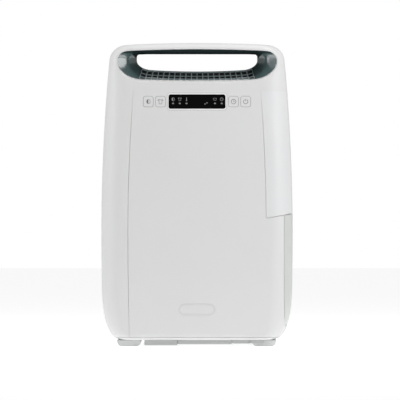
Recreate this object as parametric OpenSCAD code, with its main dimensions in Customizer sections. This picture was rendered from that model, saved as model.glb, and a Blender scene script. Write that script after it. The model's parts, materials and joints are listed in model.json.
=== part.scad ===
// Portable compressor dehumidifier with a side-loading water tank.
// Row frame: origin on the floor under the middle of the body, +Z up,
// front at -Y, +X to the right as seen from the front. Millimetres.

/* [Body] */
// Overall width across the belly of the body
body_w = 324; // [280:1:400]
// Overall depth, front badge to rear cover
body_d = 215; // [195:1:270]
// Overall height, floor to the crown of the handle
body_h = 512; // [490:1:620]
// Height of the body's underside above the floor
foot_h = 11; // [8:1:16]
// Wall thickness of the moulded covers
wall = 2.6; // [2:0.1:3.4]
// Gap between neighbouring covers
seam = 0.4; // [0.3:0.1:1]
// Radius of the front corners in plan
front_r = 42; // [30:1:46]
// Radius of the rear corners in plan
rear_r = 30; // [20:1:34]
// Height of the widest level
belly_z = 190; // [150:1:230]
// How much each side draws in from the belly to the top
top_draw = 16.5; // [8:0.5:22]
// How far the rear leans forward at the top
rear_lean = 85; // [60:1:92]

/* [Handle and air outlet] */
// Half width of the mouth of the outlet funnel
mouth_x = 139; // [120:1:140]
// Height of the mouth
mouth_h = 53; // [46:1:56]
// Thickness of the handle bar above the mouth, seen from the front
bar_h = 10; // [8:1:14]
// Half width of the narrow throat that goes right through
throat_x = 102; // [90:1:110]
// Height of the throat
throat_h = 29; // [26:1:34]
// Thickness of the funnel's lining
lining = 2.2; // [1.8:0.1:3]
// Number of cells along the outlet grille
grille_cells = 20; // [12:1:24]

/* [Controls] */
// Width of the display window
display_w = 96; // [80:1:104]
// Height of the display window
display_h = 24.4; // [20:0.1:28]
// Width of a push button
button_w = 17.5; // [14:0.1:19]
// Height of a push button
button_h = 18.7; // [14:0.1:22]
// Distance of the inner buttons from the middle
button_in = 61.5; // [60:0.5:66]
// Distance of the outer buttons from the middle
button_out = 82; // [82:0.5:88]
// Travel of a push button
button_travel = 0.8; // [0.5:0.1:1]
// Width of the raised badge
badge_w = 61; // [40:1:80]
// How far the badge stands proud of the front
badge_rise = 0.6; // [0.4:0.1:1]

/* [Water tank] */
// Height of the tank's outer panel at its front edge
tank_top = 217; // [205:1:220]
// Height of the sill below the tank's outer panel
tank_sill = 34; // [28:1:44]
// How far in from the side of the body the tank's outer panel starts
tank_inset = 15; // [12:1:22]
// Wall thickness of the tank
tank_wall = 2; // [1.6:0.1:3]
// How far the tank slides out
tank_travel = 160; // [150:1:180]

/* [Fan] */
// Outer diameter of the fan wheel
fan_d = 156; // [130:1:160]
// Depth of the fan wheel
fan_depth = 48; // [40:1:52]
// Number of fan blades
fan_blades = 28; // [20:1:36]
// Diameter of the fan shaft
shaft_d = 8; // [6:0.5:10]

/* [Refrigeration] */
// Diameter of the compressor shell
compressor_d = 104; // [90:1:108]
// Height of the compressor shell
compressor_h = 172; // [140:1:180]
// Width of the finned coils
coil_w = 216; // [180:1:218]
// Height of the finned coils
coil_h = 166; // [140:1:168]
// Number of fins on each coil
coil_fins = 25; // [12:1:30]
// Wall thickness of the compressor shell
compressor_wall = 3; // [2:0.5:5]
// Outer diameter of the refrigerant pipes
pipe_d = 8; // [6:0.5:9]

/* [Air filter and drain] */
// Half width of the filter cassette
filter_x = 117; // [100:1:118]
// Thickness of the filter cassette
filter_t = 4; // [3:0.5:5]
// Outer diameter of the drain spout that a hose pushes on to
drain_d = 12; // [10:0.5:14]

/* [Hidden] */
$fn = 48;
gap = 0.3;
half_w = body_w / 2;
front_y = -body_d / 2 + badge_rise;
back_y = body_d / 2;
in_front = front_y + wall;
in_back = back_y - wall;
base_t = 4;
floor_z = foot_h + base_t;
tank_edge = half_w - tank_inset;
foot_x = 114;
badge_z = 62.8;
badge_h = 18.7;

// Skid blocks: left, right, setback from the front, underside
skids = [[-89, -33, 8, 2.2], [-33, 59, 10, 4], [59, 90, 10, 5]];

// Outer skin
corner_w = 32;
corner_h = 90;
corner_power = 2.5;
crown_r = 26;
crown_drop = 3;
edge_r = 12;
lean_power = 1.35;
lean_h = 127;
seam_inset = 45.5;
frame_z = body_h - 82;
side_back_y = 70;
wrap_y = -60;

// Handle
mouth_top = body_h - bar_h;
mouth_z = mouth_top - mouth_h;
throat_z = mouth_z + 14;
throat_top = throat_z + throat_h;
throat_y = -40;
grille_x = 98;
grille_from = 8;
grille_run = 50;
floor_slope = atan2(throat_z - mouth_z, throat_y - front_y);

// Controls
control_z = body_h - 99;
bezel_rim = 2;
button_x = [-button_out, -button_in, button_in, button_out];
flange = 1;
board_y = in_front + 11.5;
board_t = 1.6;
board_z0 = control_z - 17;
board_z1 = frame_z - 0.5;
board_x = 98;

// Decks and partitions
deck_z = tank_top + 11;
deck_t = 3;
part_x = 3;
bulk_t = 3;
tray_z = deck_z + deck_t + 2;
tray_h = 11;
tray_t = 2;

// Coils
coil_t = 18;
coil_z = tray_z + tray_t + 2;
cond_y = 46;
filter_y = in_back - 10.4;
evap_y = filter_y - 4.5 - coil_t;
rows = 6;
row_pitch = coil_h / rows;

// Fan
fan_x = -5;
fan_z = deck_z + deck_t + 103;
fan_y0 = -62;
fan_y1 = fan_y0 + fan_depth;
fan_r = fan_d / 2;
scroll_t = 2;
scroll_y0 = fan_y0 - 4 - scroll_t;
scroll_y1 = fan_y1 + 4 + scroll_t;
scroll_min = fan_r + 5;
scroll_grow = 19;
scroll_top = frame_z + 2;
bulk_y = scroll_y1;

// Compressor
comp_x = wall + 86.4 - half_w;
comp_y = 4;
comp_z = floor_z + 16;
grommet_h = 12;

// Tank
tank_x0 = part_x + 9;
tank_x1 = half_w - 13.5;
tank_y = 88;
tank_z0 = tank_sill + 1.5;
tank_z1 = tank_top - 14;
lid_t = 3;
drip_x = 70;
drip_y = 66;
float_y = -62;
float_z = tank_z1 - 30;

// Drain
drain_x = -60;
drain_y = 66;
drain_z = deck_z - 18;
drain_end = back_y - 3.5;
drain_stop = drain_end - 24;

// Mains cord gland in the rear cover
gland_x = -100;
gland_z = 60;
gland_d = 16;

// Screws: x, z of each rear screw
screw_x = half_w - 28;
screw_lo = coil_z + 10;
screw_hi = coil_z + 140;
rear_screws_at = [for (z = [screw_lo, screw_hi], x = [-screw_x, screw_x]) [x, z]];

// ---- outer skin -------------------------------------------------------

// Half width of the body at height z, before the corners are rounded.
function side_x(z) = half_w - top_draw * (z > belly_z
    ? pow((z - belly_z) / (body_h - belly_z), 2)
    : 0.2 * pow((belly_z - z) / belly_z, 2));

// Rear surface at height z, leaning forward above the coils.
function rear_y(z) = back_y - rear_lean * pow(max(0, (z - (body_h - lean_h)) / lean_h), lean_power);

// Right half of the front silhouette, bottom to top, drawn in by e.
function silhouette(e) = let (
        z0 = foot_h + e,
        top = body_h - e - crown_drop,
        side_top = top - crown_r,
        crown_x = side_x(top) - e - crown_r)
    concat(
        [for (a = [10 : 10 : 90]) let (z = z0 + corner_h * (1 - pow(cos(a), 2 / corner_power)))
            [side_x(z) - e - corner_w * (1 - pow(sin(a), 2 / corner_power)), z]],
        [for (i = [1 : 8]) let (z = z0 + corner_h + (side_top - z0 - corner_h) * i / 8) [side_x(z) - e, z]],
        [for (a = [15 : 15 : 90]) let (z = side_top + crown_r * sin(a))
            [side_x(z) - e - crown_r * (1 - cos(a)), z]],
        [for (i = [1 : 3]) let (x = crown_x * (1 - i / 4)) [x, body_h - e - crown_drop * pow(x / crown_x, 2)]]);

function mirror_x(points) = [for (i = [len(points) - 1 : -1 : 0]) [-points[i][0], points[i][1]]];

module front_outline(e) {
    right = silhouette(e);
    bottom_x = side_x(foot_h) - e - corner_w + 1;
    polygon(concat([[bottom_x, foot_h + e]], right, [[0, body_h - e]], mirror_x(right),
        [[-bottom_x, foot_h + e]]));
}

module plan_outline(e) {
    fr = front_r - e;
    rr = rear_r - e;
    for (side = [-1, 1]) {
        translate([side * (half_w - front_r), front_y + front_r]) circle(fr);
        translate([side * (half_w - rear_r), back_y - rear_r]) circle(rr);
    }
    translate([-half_w + front_r, front_y + e]) square([body_w - 2 * front_r, body_d / 2]);
    translate([-half_w + rear_r, 0]) square([body_w - 2 * rear_r, back_y - e]);
    translate([-half_w + e, front_y + front_r])
        square([body_w - 2 * e, back_y - rear_r - front_y - front_r]);
}

module side_outline(e) {
    y0 = front_y + e;
    z1 = body_h - e;
    z0 = foot_h + e;
    small = 7;
    polygon(concat(
        [for (a = [0 : 30 : 90]) [y0 + small * (1 - sin(a)), z0 + small * (1 - cos(a))]],
        [for (a = [0 : 18 : 90]) [y0 + edge_r * (1 - cos(a)), z1 - edge_r * (1 - sin(a))]],
        [for (i = [0 : 8]) let (z = z1 - (lean_h - e) * i / 8) [rear_y(z + e * 0.4 * (1 - i / 8)) - e, z]],
        [for (a = [0 : 30 : 90]) [back_y - e - small * (1 - cos(a)), z0 + small * (1 - sin(a))]]));
}

// The body's outer form drawn in by e on every side.
module envelope(e = 0) {
    intersection() {
        translate([0, body_d, 0]) rotate([90, 0, 0]) linear_extrude(2 * body_d) front_outline(e);
        translate([0, 0, -1]) linear_extrude(body_h + 2) plan_outline(e);
        translate([-body_w, 0, 0]) rotate([90, 0, 90]) linear_extrude(2 * body_w) side_outline(e);
    }
}

module skin() {
    difference() {
        envelope(0);
        envelope(wall);
    }
}

module block(x0, x1, y0, y1, z0, z1) {
    translate([x0, y0, z0]) cube([x1 - x0, y1 - y0, z1 - z0]);
}

// Extrude an X-Z outline from y0 to y1.
module along_y(y0, y1) {
    translate([0, y1, 0]) rotate([90, 0, 0]) linear_extrude(y1 - y0) children();
}

module rod_y(x, z, y0, y1, d) {
    translate([x, y1, z]) rotate([90, 0, 0]) cylinder(h = y1 - y0, d = d);
}

module rod_z(x, y, z0, z1, d) {
    translate([x, y, z0]) cylinder(h = z1 - z0, d = d);
}

module rod_x(x0, x1, y, z, d) {
    translate([x0, y, z]) rotate([0, 90, 0]) cylinder(h = x1 - x0, d = d);
}

module rounded(w, h, r) {
    union() {
        square([w - 2 * r, h], center = true);
        square([w, h - 2 * r], center = true);
        for (x = [-1, 1], z = [-1, 1]) translate([x * (w / 2 - r), z * (h / 2 - r)]) circle(r);
    }
}

// The seam between the front cover and the side panels follows the side.
function seam_x(z) = side_x(z) - seam_inset;
// The lower edge of the right side panel rises towards the side.
slant_x0 = half_w - 43;
slant_rise = 8;
function slant_z(x) = tank_top + slant_rise * min(1, max(0, (x - slant_x0) / (half_w - slant_x0)));

module centre_region(e) {
    steps = 8;
    zs = [for (i = [0 : steps]) floor_z + (frame_z - floor_z) * i / steps];
    polygon(concat([for (z = zs) [seam_x(z) - e, z]],
        [for (i = [steps : -1 : 0]) [-seam_x(zs[i]) + e, zs[i]]]));
}

// Part of the front cover that wraps the corner ahead of the tank.
module tank_side_region(x0, x1) {
    polygon([[x0, floor_z + seam], [x1, floor_z + seam], [x1, slant_z(x1) - seam],
        [slant_x0, tank_top - seam], [x0, tank_top - seam]]);
}

module side_region(e, z0) {
    steps = 8;
    zs = [for (i = [0 : steps]) z0 + (frame_z - seam - z0) * i / steps];
    polygon(concat([for (z = zs) [seam_x(z) + e, z]],
        [[half_w + 5, frame_z - seam], [half_w + 5, z0]]));
}

// Mouth of the funnel: small upper corners and long sweeping lower ones.
module mouth_outline(x, z0, z1, e, upper_r = 18, lower_rx = 46, lower_rz = 30) {
    right = concat(
        [for (a = [0 : 15 : 90]) [x + e - lower_rx * (1 - sin(a)), z0 - e + lower_rz * (1 - cos(a))]],
        [for (a = [0 : 22.5 : 90]) [x + e - upper_r * (1 - cos(a)), z1 + e - upper_r * (1 - sin(a))]]);
    polygon(concat(right, mirror_x(right)));
}

module throat_outline(e) {
    mouth_outline(throat_x, throat_z, throat_top, e, 5, 24, 16);
}

// ---- covers -----------------------------------------------------------

module cover_cuts() {
    translate([0, 0, control_z]) {
        along_y(front_y - 1, in_front + 1)
            rounded(display_w + 2 * bezel_rim + 2 * gap, display_h + 2 * bezel_rim + 2 * gap, 5.5);
        for (x = button_x) translate([x, 0, 0])
            along_y(front_y - 1, in_front + 1) rounded(button_w + 2 * gap, button_h + 2 * gap, 4);
    }
    along_y(front_y - 1, in_front + 8) mouth_outline(mouth_x, mouth_z, mouth_top, 0);
}

module board_bosses() {
    for (x = [-1, 1], z = [board_z0 + 4, board_z1 - 4]) difference() {
        rod_y(x * (board_x - 2), z, in_front - 0.2, board_y, 6);
        rod_y(x * (board_x - 2), z, in_front + 1, board_y + 1, 2.4);
    }
}

module front_cover() {
    color("white") difference() {
        union() {
            intersection() {
                skin();
                union() {
                    along_y(front_y - 1, wrap_y) intersection() {
                        centre_region(0);
                        translate([-body_w, floor_z + seam]) square([2 * body_w, body_h]);
                    }
                    along_y(front_y - 1, wrap_y) tank_side_region(seam_x(tank_top) - 20, tank_edge);
                    block(-body_w, body_w, front_y - 1, 10, frame_z, body_h + 1);
                }
            }
            board_bosses();
        }
        cover_cuts();
    }
}

module left_side_panel() {
    color("white") intersection() {
        skin();
        mirror([1, 0, 0]) along_y(front_y - 1, side_back_y) side_region(seam, floor_z + seam);
    }
}

module right_side_panel() {
    color("white") difference() {
        intersection() {
            skin();
            along_y(front_y - 1, side_back_y) side_region(seam, tank_top);
        }
        along_y(front_y - 2, side_back_y + 1)
            polygon([[slant_x0 - 20, tank_top - 5], [slant_x0 - 20, tank_top], [slant_x0, tank_top],
                [half_w, tank_top + slant_rise], [half_w + 10, tank_top + slant_rise],
                [half_w + 10, tank_top - 5]]);
    }
}

module rear_screw_holes(from_y, to_y, d) {
    for (p = rear_screws_at) rod_y(p[0], p[1], from_y, to_y, d);
}

rear_in_z0 = coil_z + 8;
rear_in_z1 = coil_z + coil_h - 21;
rear_in_x = 116;

module rear_cover() {
    color("white") difference() {
        union() {
            intersection() {
                skin();
                difference() {
                    union() {
                        block(-body_w, body_w, side_back_y + seam, back_y + 1, floor_z + seam, frame_z + 1);
                        block(-body_w, body_w, 10 + seam, back_y + 1, frame_z, body_h + 1);
                    }
                    block(tank_edge, body_w, -body_d, back_y + 1, 0, tank_top + slant_rise);
                }
            }
            for (side = [-1, 1])
                translate([side * (filter_x + gap + 1.2), 0, 0])
                    block(-1.2, 1.2, filter_y - 2, in_back + 0.2, filter_z0 - 2, rear_in_z1 - 4);
            block(-filter_x, filter_x, filter_y - 2, in_back + 0.2, filter_z0 - gap - 2, filter_z0 - gap);
        }
        along_y(in_back - 1, back_y + 1) translate([0, (rear_in_z0 + rear_in_z1) / 2])
            square([2 * rear_in_x, rear_in_z1 - rear_in_z0], center = true);
        block(-filter_x - gap, filter_x + gap, filter_y - 0.5, filter_y + filter_t + 0.5,
            rear_in_z1 + 8, frame_z + 6);
        along_y(0, back_y + 1) mouth_outline(throat_x + 16, throat_z - 6, throat_top + 4, 0, 8, 34, 22);
        rear_screw_holes(in_back - 6, back_y + 1, 3.8);
        rear_screw_holes(back_y - 1.6, back_y + 1, 8);
        rod_y(gland_x, gland_z, in_back - 1, back_y + 1, gland_d + 0.2);
        rod_y(drain_x, drain_z, in_back - 1, back_y + 1, 34);
    }
}

module base_tray() {
    color("white") union() {
        intersection() {
            envelope(0);
            block(-body_w, body_w, -body_d, body_d, foot_h - 1, floor_z);
        }
        intersection() {
            skin();
            union() {
                block(tank_edge + seam, body_w, -body_d, body_d, floor_z - 1, tank_sill);
                block(100, body_w, wrap_y + seam, side_back_y, floor_z - 1, tank_sill);
            }
        }
        for (spot = compressor_feet_at) rod_z(spot[0], spot[1], floor_z - 0.5, floor_z + 2, 20);
        for (y = [-60, 50]) block(tank_x0 + 2, tank_x1 - 20, y, y + 10, floor_z - 0.5, tank_z0 - gap);
    }
}

// Moulded skid blocks between the feet, under the base.
module base_skid() {
    color("dimgray") union() {
        for (s = skids) block(s[0], s[1], front_y + s[2], back_y - 12, s[3], foot_h);
        block(skids[2][1] - 1, foot_x - 1, front_y + 8, front_y + 12, skids[2][3], foot_h);
    }
}

module foot_shape() {
    rotate([90, 0, 0]) linear_extrude(34, center = true)
        polygon([[-17, 0], [14, 0], [18, 3], [20, foot_h], [-21, foot_h], [-20, 4]]);
}

module rubber_feet() {
    color("gray") for (side = [-1, 1], y = [front_y + 30, back_y - 32])
        translate([side * foot_x, y, 0]) foot_shape();
}

// ---- handle, funnel and outlet ---------------------------------------

module funnel_solid(e) {
    union() {
        hull() {
            along_y(front_y - 2, front_y) mouth_outline(mouth_x - 0.2, mouth_z + 0.2, mouth_top - 0.2, e);
            along_y(throat_y, throat_y + 1) throat_outline(e);
        }
        along_y(throat_y, 11) throat_outline(e);
        hull() {
            along_y(10, 11) throat_outline(e);
            along_y(back_y, back_y + 1)
                mouth_outline(throat_x + 26, throat_z - 11, throat_top + 7, e, 12, 40, 24);
        }
    }
}

// Place children on the sloping floor of the funnel, starting at its front edge.
module on_funnel_floor() {
    translate([0, front_y, mouth_z]) rotate([floor_slope, 0, 0]) children();
}

module outlet_funnel() {
    color("darkslategray") resize([0, 0, 0]) difference() {
        intersection() {
            envelope(wall + gap);
            funnel_solid(0);
        }
        funnel_solid(-lining);
        on_funnel_floor() block(-grille_x - gap, grille_x + gap, grille_from - gap,
            grille_from + grille_run + gap, -5, lining + 3);
    }
}

module outlet_grille() {
    pitch = 2 * (grille_x - 2) / grille_cells;
    row = (grille_run - 4) / 3;
    rib = 1.4;
    color("slategray") on_funnel_floor() translate([0, grille_from, 0.2]) difference() {
        block(-grille_x, grille_x, 0, grille_run, 0, lining);
        for (i = [0 : grille_cells - 1], j = [0 : 2])
            translate([-grille_x + 2 + pitch * i + rib / 2, 2 + row * j + 0.5, -1])
                cube([pitch - rib, row - 1, lining + 2]);
    }
}

module duct_solid(e) {
    hull() {
        block(fan_x - 18 - e, fan_x + scroll_min + scroll_grow + 3 + e, scroll_y0 - e, scroll_y1 + e,
            scroll_top + 0.2 + e / 4, scroll_top + 0.7 + e / 4);
        block(-grille_x + 2 - e, grille_x - 2 + e, in_front + 4 - e, throat_y - 16 + e,
            mouth_z - 5.2 - e / 4, mouth_z - 4.7 - e / 4);
    }
}

module outlet_duct() {
    color("gainsboro") difference() {
        duct_solid(0);
        duct_solid(-2);
    }
}

// ---- controls ---------------------------------------------------------

module display_bezel() {
    color("silver") translate([0, 0, control_z]) difference() {
        union() {
            along_y(front_y, in_front) rounded(display_w + 2 * bezel_rim, display_h + 2 * bezel_rim, 5.2);
            along_y(in_front, in_front + 2) rounded(display_w - 1, display_h - 1, 3);
        }
        along_y(front_y - 1, front_y + 2) rounded(display_w, display_h, 3.5);
        along_y(front_y - 1, in_front + 3) rounded(display_w - 6, display_h - 6, 2);
    }
}

module display_window() {
    color("black") translate([0, 0, control_z])
        along_y(front_y + 0.5, front_y + 1.9) rounded(display_w - 0.4, display_h - 0.4, 3.3);
}

module display_module() {
    color("dimgray") block(-42, 42, front_y + 2, board_y, control_z - 8, control_z + 8);
}

module badge() {
    color("white") translate([0, 0, badge_z]) along_y(front_y - badge_rise, front_y)
        rounded(badge_w, badge_h, badge_h / 2 - 0.15);
}

module control_board() {
    color("darkgreen") difference() {
        block(-board_x - 4, board_x + 4, board_y, board_y + board_t, board_z0, board_z1);
        for (x = [-1, 1], z = [board_z0 + 4, board_z1 - 4])
            rod_y(x * (board_x - 2), z, board_y - 1, board_y + board_t + 1, 3);
    }
}

switch_top = board_y - 4;

module tact_switches() {
    color("black") for (x = button_x) union() {
        block(x - 3, x + 3, switch_top + 0.8, board_y, control_z - 3, control_z + 3);
        rod_y(x, control_z, switch_top, switch_top + 1, 3);
    }
}

module board_screws() {
    color("silver") for (x = [-1, 1], z = [board_z0 + 4, board_z1 - 4]) union() {
        rod_y(x * (board_x - 2), z, board_y - 6, board_y + board_t + 0.5, 2.3);
        rod_y(x * (board_x - 2), z, board_y + board_t, board_y + board_t + 1.6, 5);
    }
}

module push_button(i) {
    stem_end = switch_top - button_travel - gap;
    color("white") translate([button_x[i], 0, control_z]) union() {
        along_y(front_y, in_front + gap + 0.1) rounded(button_w, button_h, 3.7);
        along_y(in_front + gap, in_front + gap + flange)
            rounded(button_w + 1.6, button_h + 1.6, 4.4);
        translate([-button_x[i], 0, -control_z])
            rod_y(button_x[i], control_z, in_front + gap, stem_end, 5);
    }
}

module drying_button() { push_button(0); }
module laundry_button() { push_button(1); }
module timer_button() { push_button(2); }
module power_button() { push_button(3); }

// ---- inner frame ------------------------------------------------------

module bulkhead() {
    color("lightgray") difference() {
        union() {
            intersection() {
                envelope(wall + 1);
                block(-body_w, body_w, bulk_y, bulk_y + bulk_t, deck_z + deck_t, throat_z - 12);
            }
            rear_screw_holes(bulk_y, in_back - 1.2, 8);
        }
        rod_y(fan_x, fan_z, bulk_y - 1, bulk_y + bulk_t + 1, 2 * (fan_r - 12));
        rear_screw_holes(in_back - 16, in_back + 1, 3);
    }
}

riser_x = -coil_w / 2 - 15;
gas_x = -screw_x - 12;
liquid_y = cond_y - 26;

module deck_plate() {
    color("lightgray") difference() {
        intersection() {
            envelope(wall + 1);
            block(-body_w, body_w, front_y + 14, in_back - 3, deck_z, deck_z + deck_t);
        }
        rod_z(drip_x, drip_y, deck_z - 1, deck_z + deck_t + 1, 15);
        rod_z(drain_x, drain_y, deck_z - 1, deck_z + deck_t + 1, drain_d + 3);
        block(gas_x - 6, riser_x + 6, cond_y - 20, evap_y + coil_t - 2, deck_z - 1, deck_z + deck_t + 1);
    }
}

module bay_partition() {
    color("lightgray") block(part_x, part_x + bulk_t, front_y + 16, in_back - 4, floor_z, deck_z);
}

module drip_tray() {
    x0 = -coil_w / 2 - 10;
    x1 = coil_w / 2 + 10;
    y0 = cond_y - 4;
    y1 = evap_y + coil_t + 2.5;
    color("white") difference() {
        union() {
            block(x0, x1, y0, y1, tray_z, tray_z + tray_h);
            rod_z(drip_x, drip_y, tank_z1 + lid_t + 5, tray_z + 0.5, 10);
            for (x = [x0 + 8, x1 - 8], y = [y0 + 8, y1 - 8])
                rod_z(x, y, deck_z + deck_t, tray_z + 0.5, 8);
        }
        block(x0 + tray_t, x1 - tray_t, y0 + tray_t, y1 - tray_t, tray_z + tray_t, tray_z + tray_h + 1);
        rod_z(drip_x, drip_y, 0, tray_z + tray_h, 6);
        rod_z(drain_x, drain_y, tray_z - 1, tray_z + tray_h, drain_d - 4);
    }
}

// ---- refrigeration ----------------------------------------------------

module coil(y0) {
    fin_t = 0.8;
    pitch = (coil_w - fin_t) / (coil_fins - 1);
    y = y0 + coil_t / 2;
    union() {
        for (i = [0 : coil_fins - 1]) let (tall = i == 0 || i == coil_fins - 1 ? 2 : 0)
            translate([-coil_w / 2 + pitch * i, y0, coil_z - tall]) cube([fin_t, coil_t, coil_h + tall]);
        for (r = [0 : rows - 1]) translate([-coil_w / 2 - 3, y, coil_z + row_pitch * (r + 0.5)])
            rotate([0, 90, 0]) cylinder(h = coil_w + 6, d = pipe_d);
        for (r = [0 : rows - 2]) let (side = r % 2 ? -1 : 1)
            translate([side * (coil_w / 2 + 2), y, coil_z + row_pitch * (r + 1)]) rotate([90, 0, 0])
                rotate([0, 0, -side * 90]) rotate_extrude(angle = 180)
                    translate([row_pitch / 2, 0]) circle(d = pipe_d + 1);
    }
}

module evaporator_coil() { color("silver") coil(evap_y); }
module condenser_coil() { color("silver") coil(cond_y); }

compressor_feet_at = [for (a = [90, 210, 330]) [comp_x + 58 * cos(a), comp_y + 58 * sin(a)]];

// Pressed steel shell of the compressor, drawn in by e.
module compressor_form(e) {
    r = compressor_d / 2;
    low_r = 14;
    high_r = 26;
    translate([comp_x, comp_y, comp_z + 3]) rotate_extrude($fn = 64) intersection() {
        union() {
            translate([0, low_r]) square([r - e, compressor_h - low_r - high_r]);
            translate([0, e]) square([r - low_r, compressor_h - high_r - e]);
            translate([0, e]) square([r - high_r, compressor_h - 2 * e]);
            translate([r - low_r, low_r]) circle(low_r - e);
            translate([r - high_r, compressor_h - high_r]) circle(high_r - e);
        }
        square([r + 1, compressor_h + 1]);
    }
}

module compressor() {
    color("black") difference() {
        union() {
            compressor_form(0);
            for (p = compressor_feet_at) rod_z(p[0], p[1], comp_z, comp_z + 3.2, 26);
            rod_z(comp_x, comp_y, comp_z, comp_z + 3.2, 96);
        }
        compressor_form(compressor_wall);
        for (p = compressor_feet_at) rod_z(p[0], p[1], comp_z - 1, comp_z + 5, 10);
    }
}

// Motor and pump block that stands inside the compressor shell.
module compressor_pump() {
    z = comp_z + 3 + compressor_wall;
    stator_d = compressor_d - 2 * compressor_wall - 14;
    color("gray") union() {
        rod_z(comp_x, comp_y, z, z + 46, 60);
        rod_z(comp_x, comp_y, z + 45, z + 105, stator_d);
        rod_z(comp_x, comp_y, z + 104, z + 118, 30);
    }
}

module compressor_grommets() {
    color("black") for (p = compressor_feet_at) difference() {
        rod_z(p[0], p[1], floor_z + 2, comp_z, 20);
        rod_z(p[0], p[1], floor_z, comp_z + 1, 8.4);
    }
}

module compressor_bolts() {
    color("silver") for (p = compressor_feet_at) union() {
        rod_z(p[0], p[1], floor_z + 2, comp_z + 3.2, 8);
        translate([p[0], p[1], comp_z + 3.2]) cylinder(h = 5, d = 14, $fn = 6);
    }
}

comp_top = comp_z + 3 + compressor_h;
coil_left = -coil_w / 2 - 3;
evap_mid = evap_y + coil_t / 2;
cond_mid = cond_y + coil_t / 2;
first_row = coil_z + row_pitch * 0.5;
last_row = coil_z + row_pitch * (rows - 0.5);
acc_top = comp_z + 134;
drier_z = first_row + 10;
drier_h = 52;

// A run of pipe through a list of points, with brazed joints at the bends.
module pipe_run(points, d) {
    union() {
        for (i = [0 : len(points) - 2]) let (v = points[i + 1] - points[i], l = norm(v))
            translate(points[i]) rotate([0, acos(v[2] / l), atan2(v[1], v[0])]) cylinder(h = l, d = d);
        for (i = [1 : len(points) - 2]) let (a = points[i - 1] - points[i], b = points[i + 1] - points[i],
            outer = -a / norm(a) - b / norm(b))
            translate(points[i]) rotate([0, 0, atan2(outer[1], outer[0])]) sphere(d = d + 1);
    }
}

module accumulator() {
    color("black") union() {
        rod_z(riser_x, evap_mid, comp_z + 44, acc_top, 30);
        translate([riser_x, evap_mid, acc_top]) cylinder(h = 8, d1 = 28, d2 = 10);
        translate([riser_x, evap_mid, comp_z + 38]) cylinder(h = 6, d1 = 16, d2 = 28);
    }
}

module discharge_pipe() {
    x = comp_x - 20;
    z = comp_top + 8;
    color("peru") pipe_run([[x, comp_y, comp_top], [x, comp_y, z], [gas_x, comp_y, z],
        [gas_x, liquid_y + 14, z], [gas_x, liquid_y + 14, last_row], [gas_x, cond_mid, last_row],
        [coil_left, cond_mid, last_row]], pipe_d - 2);
}

module suction_pipe() {
    color("peru") pipe_run([[riser_x, evap_mid, acc_top + 8], [riser_x, evap_mid, first_row],
        [coil_left, evap_mid, first_row]], pipe_d - 1);
}

module liquid_pipe() {
    color("peru") pipe_run([[coil_left, cond_mid, first_row], [riser_x, cond_mid, first_row],
        [riser_x, liquid_y, first_row], [riser_x, liquid_y, drier_z]], pipe_d - 2);
}

module filter_drier() {
    color("peru") rod_z(riser_x, liquid_y, drier_z, drier_z + drier_h, 16);
}

module capillary_tube() {
    z = last_row + 11;
    color("peru") pipe_run([[riser_x, liquid_y, drier_z + drier_h], [riser_x, liquid_y, z],
        [riser_x, evap_mid, z], [riser_x, evap_mid, last_row], [coil_left, evap_mid, last_row]], 3);
}

// ---- fan --------------------------------------------------------------

module ring_y(y0, y1, d_out, d_in) {
    difference() {
        rod_y(fan_x, fan_z, y0, y1, d_out);
        rod_y(fan_x, fan_z, y0 - 1, y1 + 1, d_in);
    }
}

module fan_wheel() {
    blade = 15;
    color("whitesmoke") difference() {
        union() {
            rod_y(fan_x, fan_z, fan_y0, fan_y0 + 2, fan_d);
            ring_y(fan_y1 - 3, fan_y1, fan_d, fan_d - 2 * blade + 4);
            rod_y(fan_x, fan_z, fan_y0, fan_y0 + 26, 26);
            for (i = [0 : fan_blades - 1]) translate([fan_x, 0, fan_z])
                rotate([0, 360 / fan_blades * i, 0]) translate([fan_r - blade / 2 - 0.6, 0, 0])
                    rotate([0, 28, 0]) block(-blade / 2 + 1, blade / 2 - 1, fan_y0 + 1, fan_y1 - 1, -0.7, 0.7);
        }
        rod_y(fan_x, fan_z, fan_y0 - 1, fan_y0 + 30, shaft_d);
    }
}

motor_y0 = in_front + 7;

module fan_shaft() {
    color("silver") rod_y(fan_x, fan_z, motor_y0 + 6, fan_y0 + 26, shaft_d);
}

// Spiral casing outline round the fan, opening upwards at the right.
function scroll_points(e) = concat(
    [for (a = [180 : 10 : 360]) let (r = scroll_min + scroll_grow * (a - 90) / 270 + e)
        [fan_x + r * cos(a), fan_z + r * sin(a)]],
    [[fan_x + scroll_min + scroll_grow + e, scroll_top], [fan_x - 20 - e, scroll_top]],
    [for (a = [105 : 15 : 165]) let (r = scroll_min + scroll_grow * (a - 90) / 270 + e)
        [fan_x + r * cos(a), fan_z + r * sin(a)]]);

module fan_scroll() {
    color("gainsboro") difference() {
        along_y(scroll_y0, scroll_y1) polygon(scroll_points(scroll_t));
        along_y(scroll_y0 + scroll_t, scroll_y1 - scroll_t)
            polygon(scroll_points(0));
        rod_y(fan_x, fan_z, scroll_y1 - 5, scroll_y1 + 1, 2 * (fan_r - 14));
        rod_y(fan_x, fan_z, scroll_y0 - 1, scroll_y0 + 5, 32);
    }
}

module fan_motor() {
    color("dimgray") difference() {
        union() {
            rod_y(fan_x, fan_z, motor_y0, scroll_y0 - 3, 84);
            rod_y(fan_x, fan_z, scroll_y0 - 3, scroll_y0, 100);
        }
        rod_y(fan_x, fan_z, motor_y0 + 5, scroll_y0 + 1, shaft_d + 0.1);
    }
}

// ---- electrics --------------------------------------------------------

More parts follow.
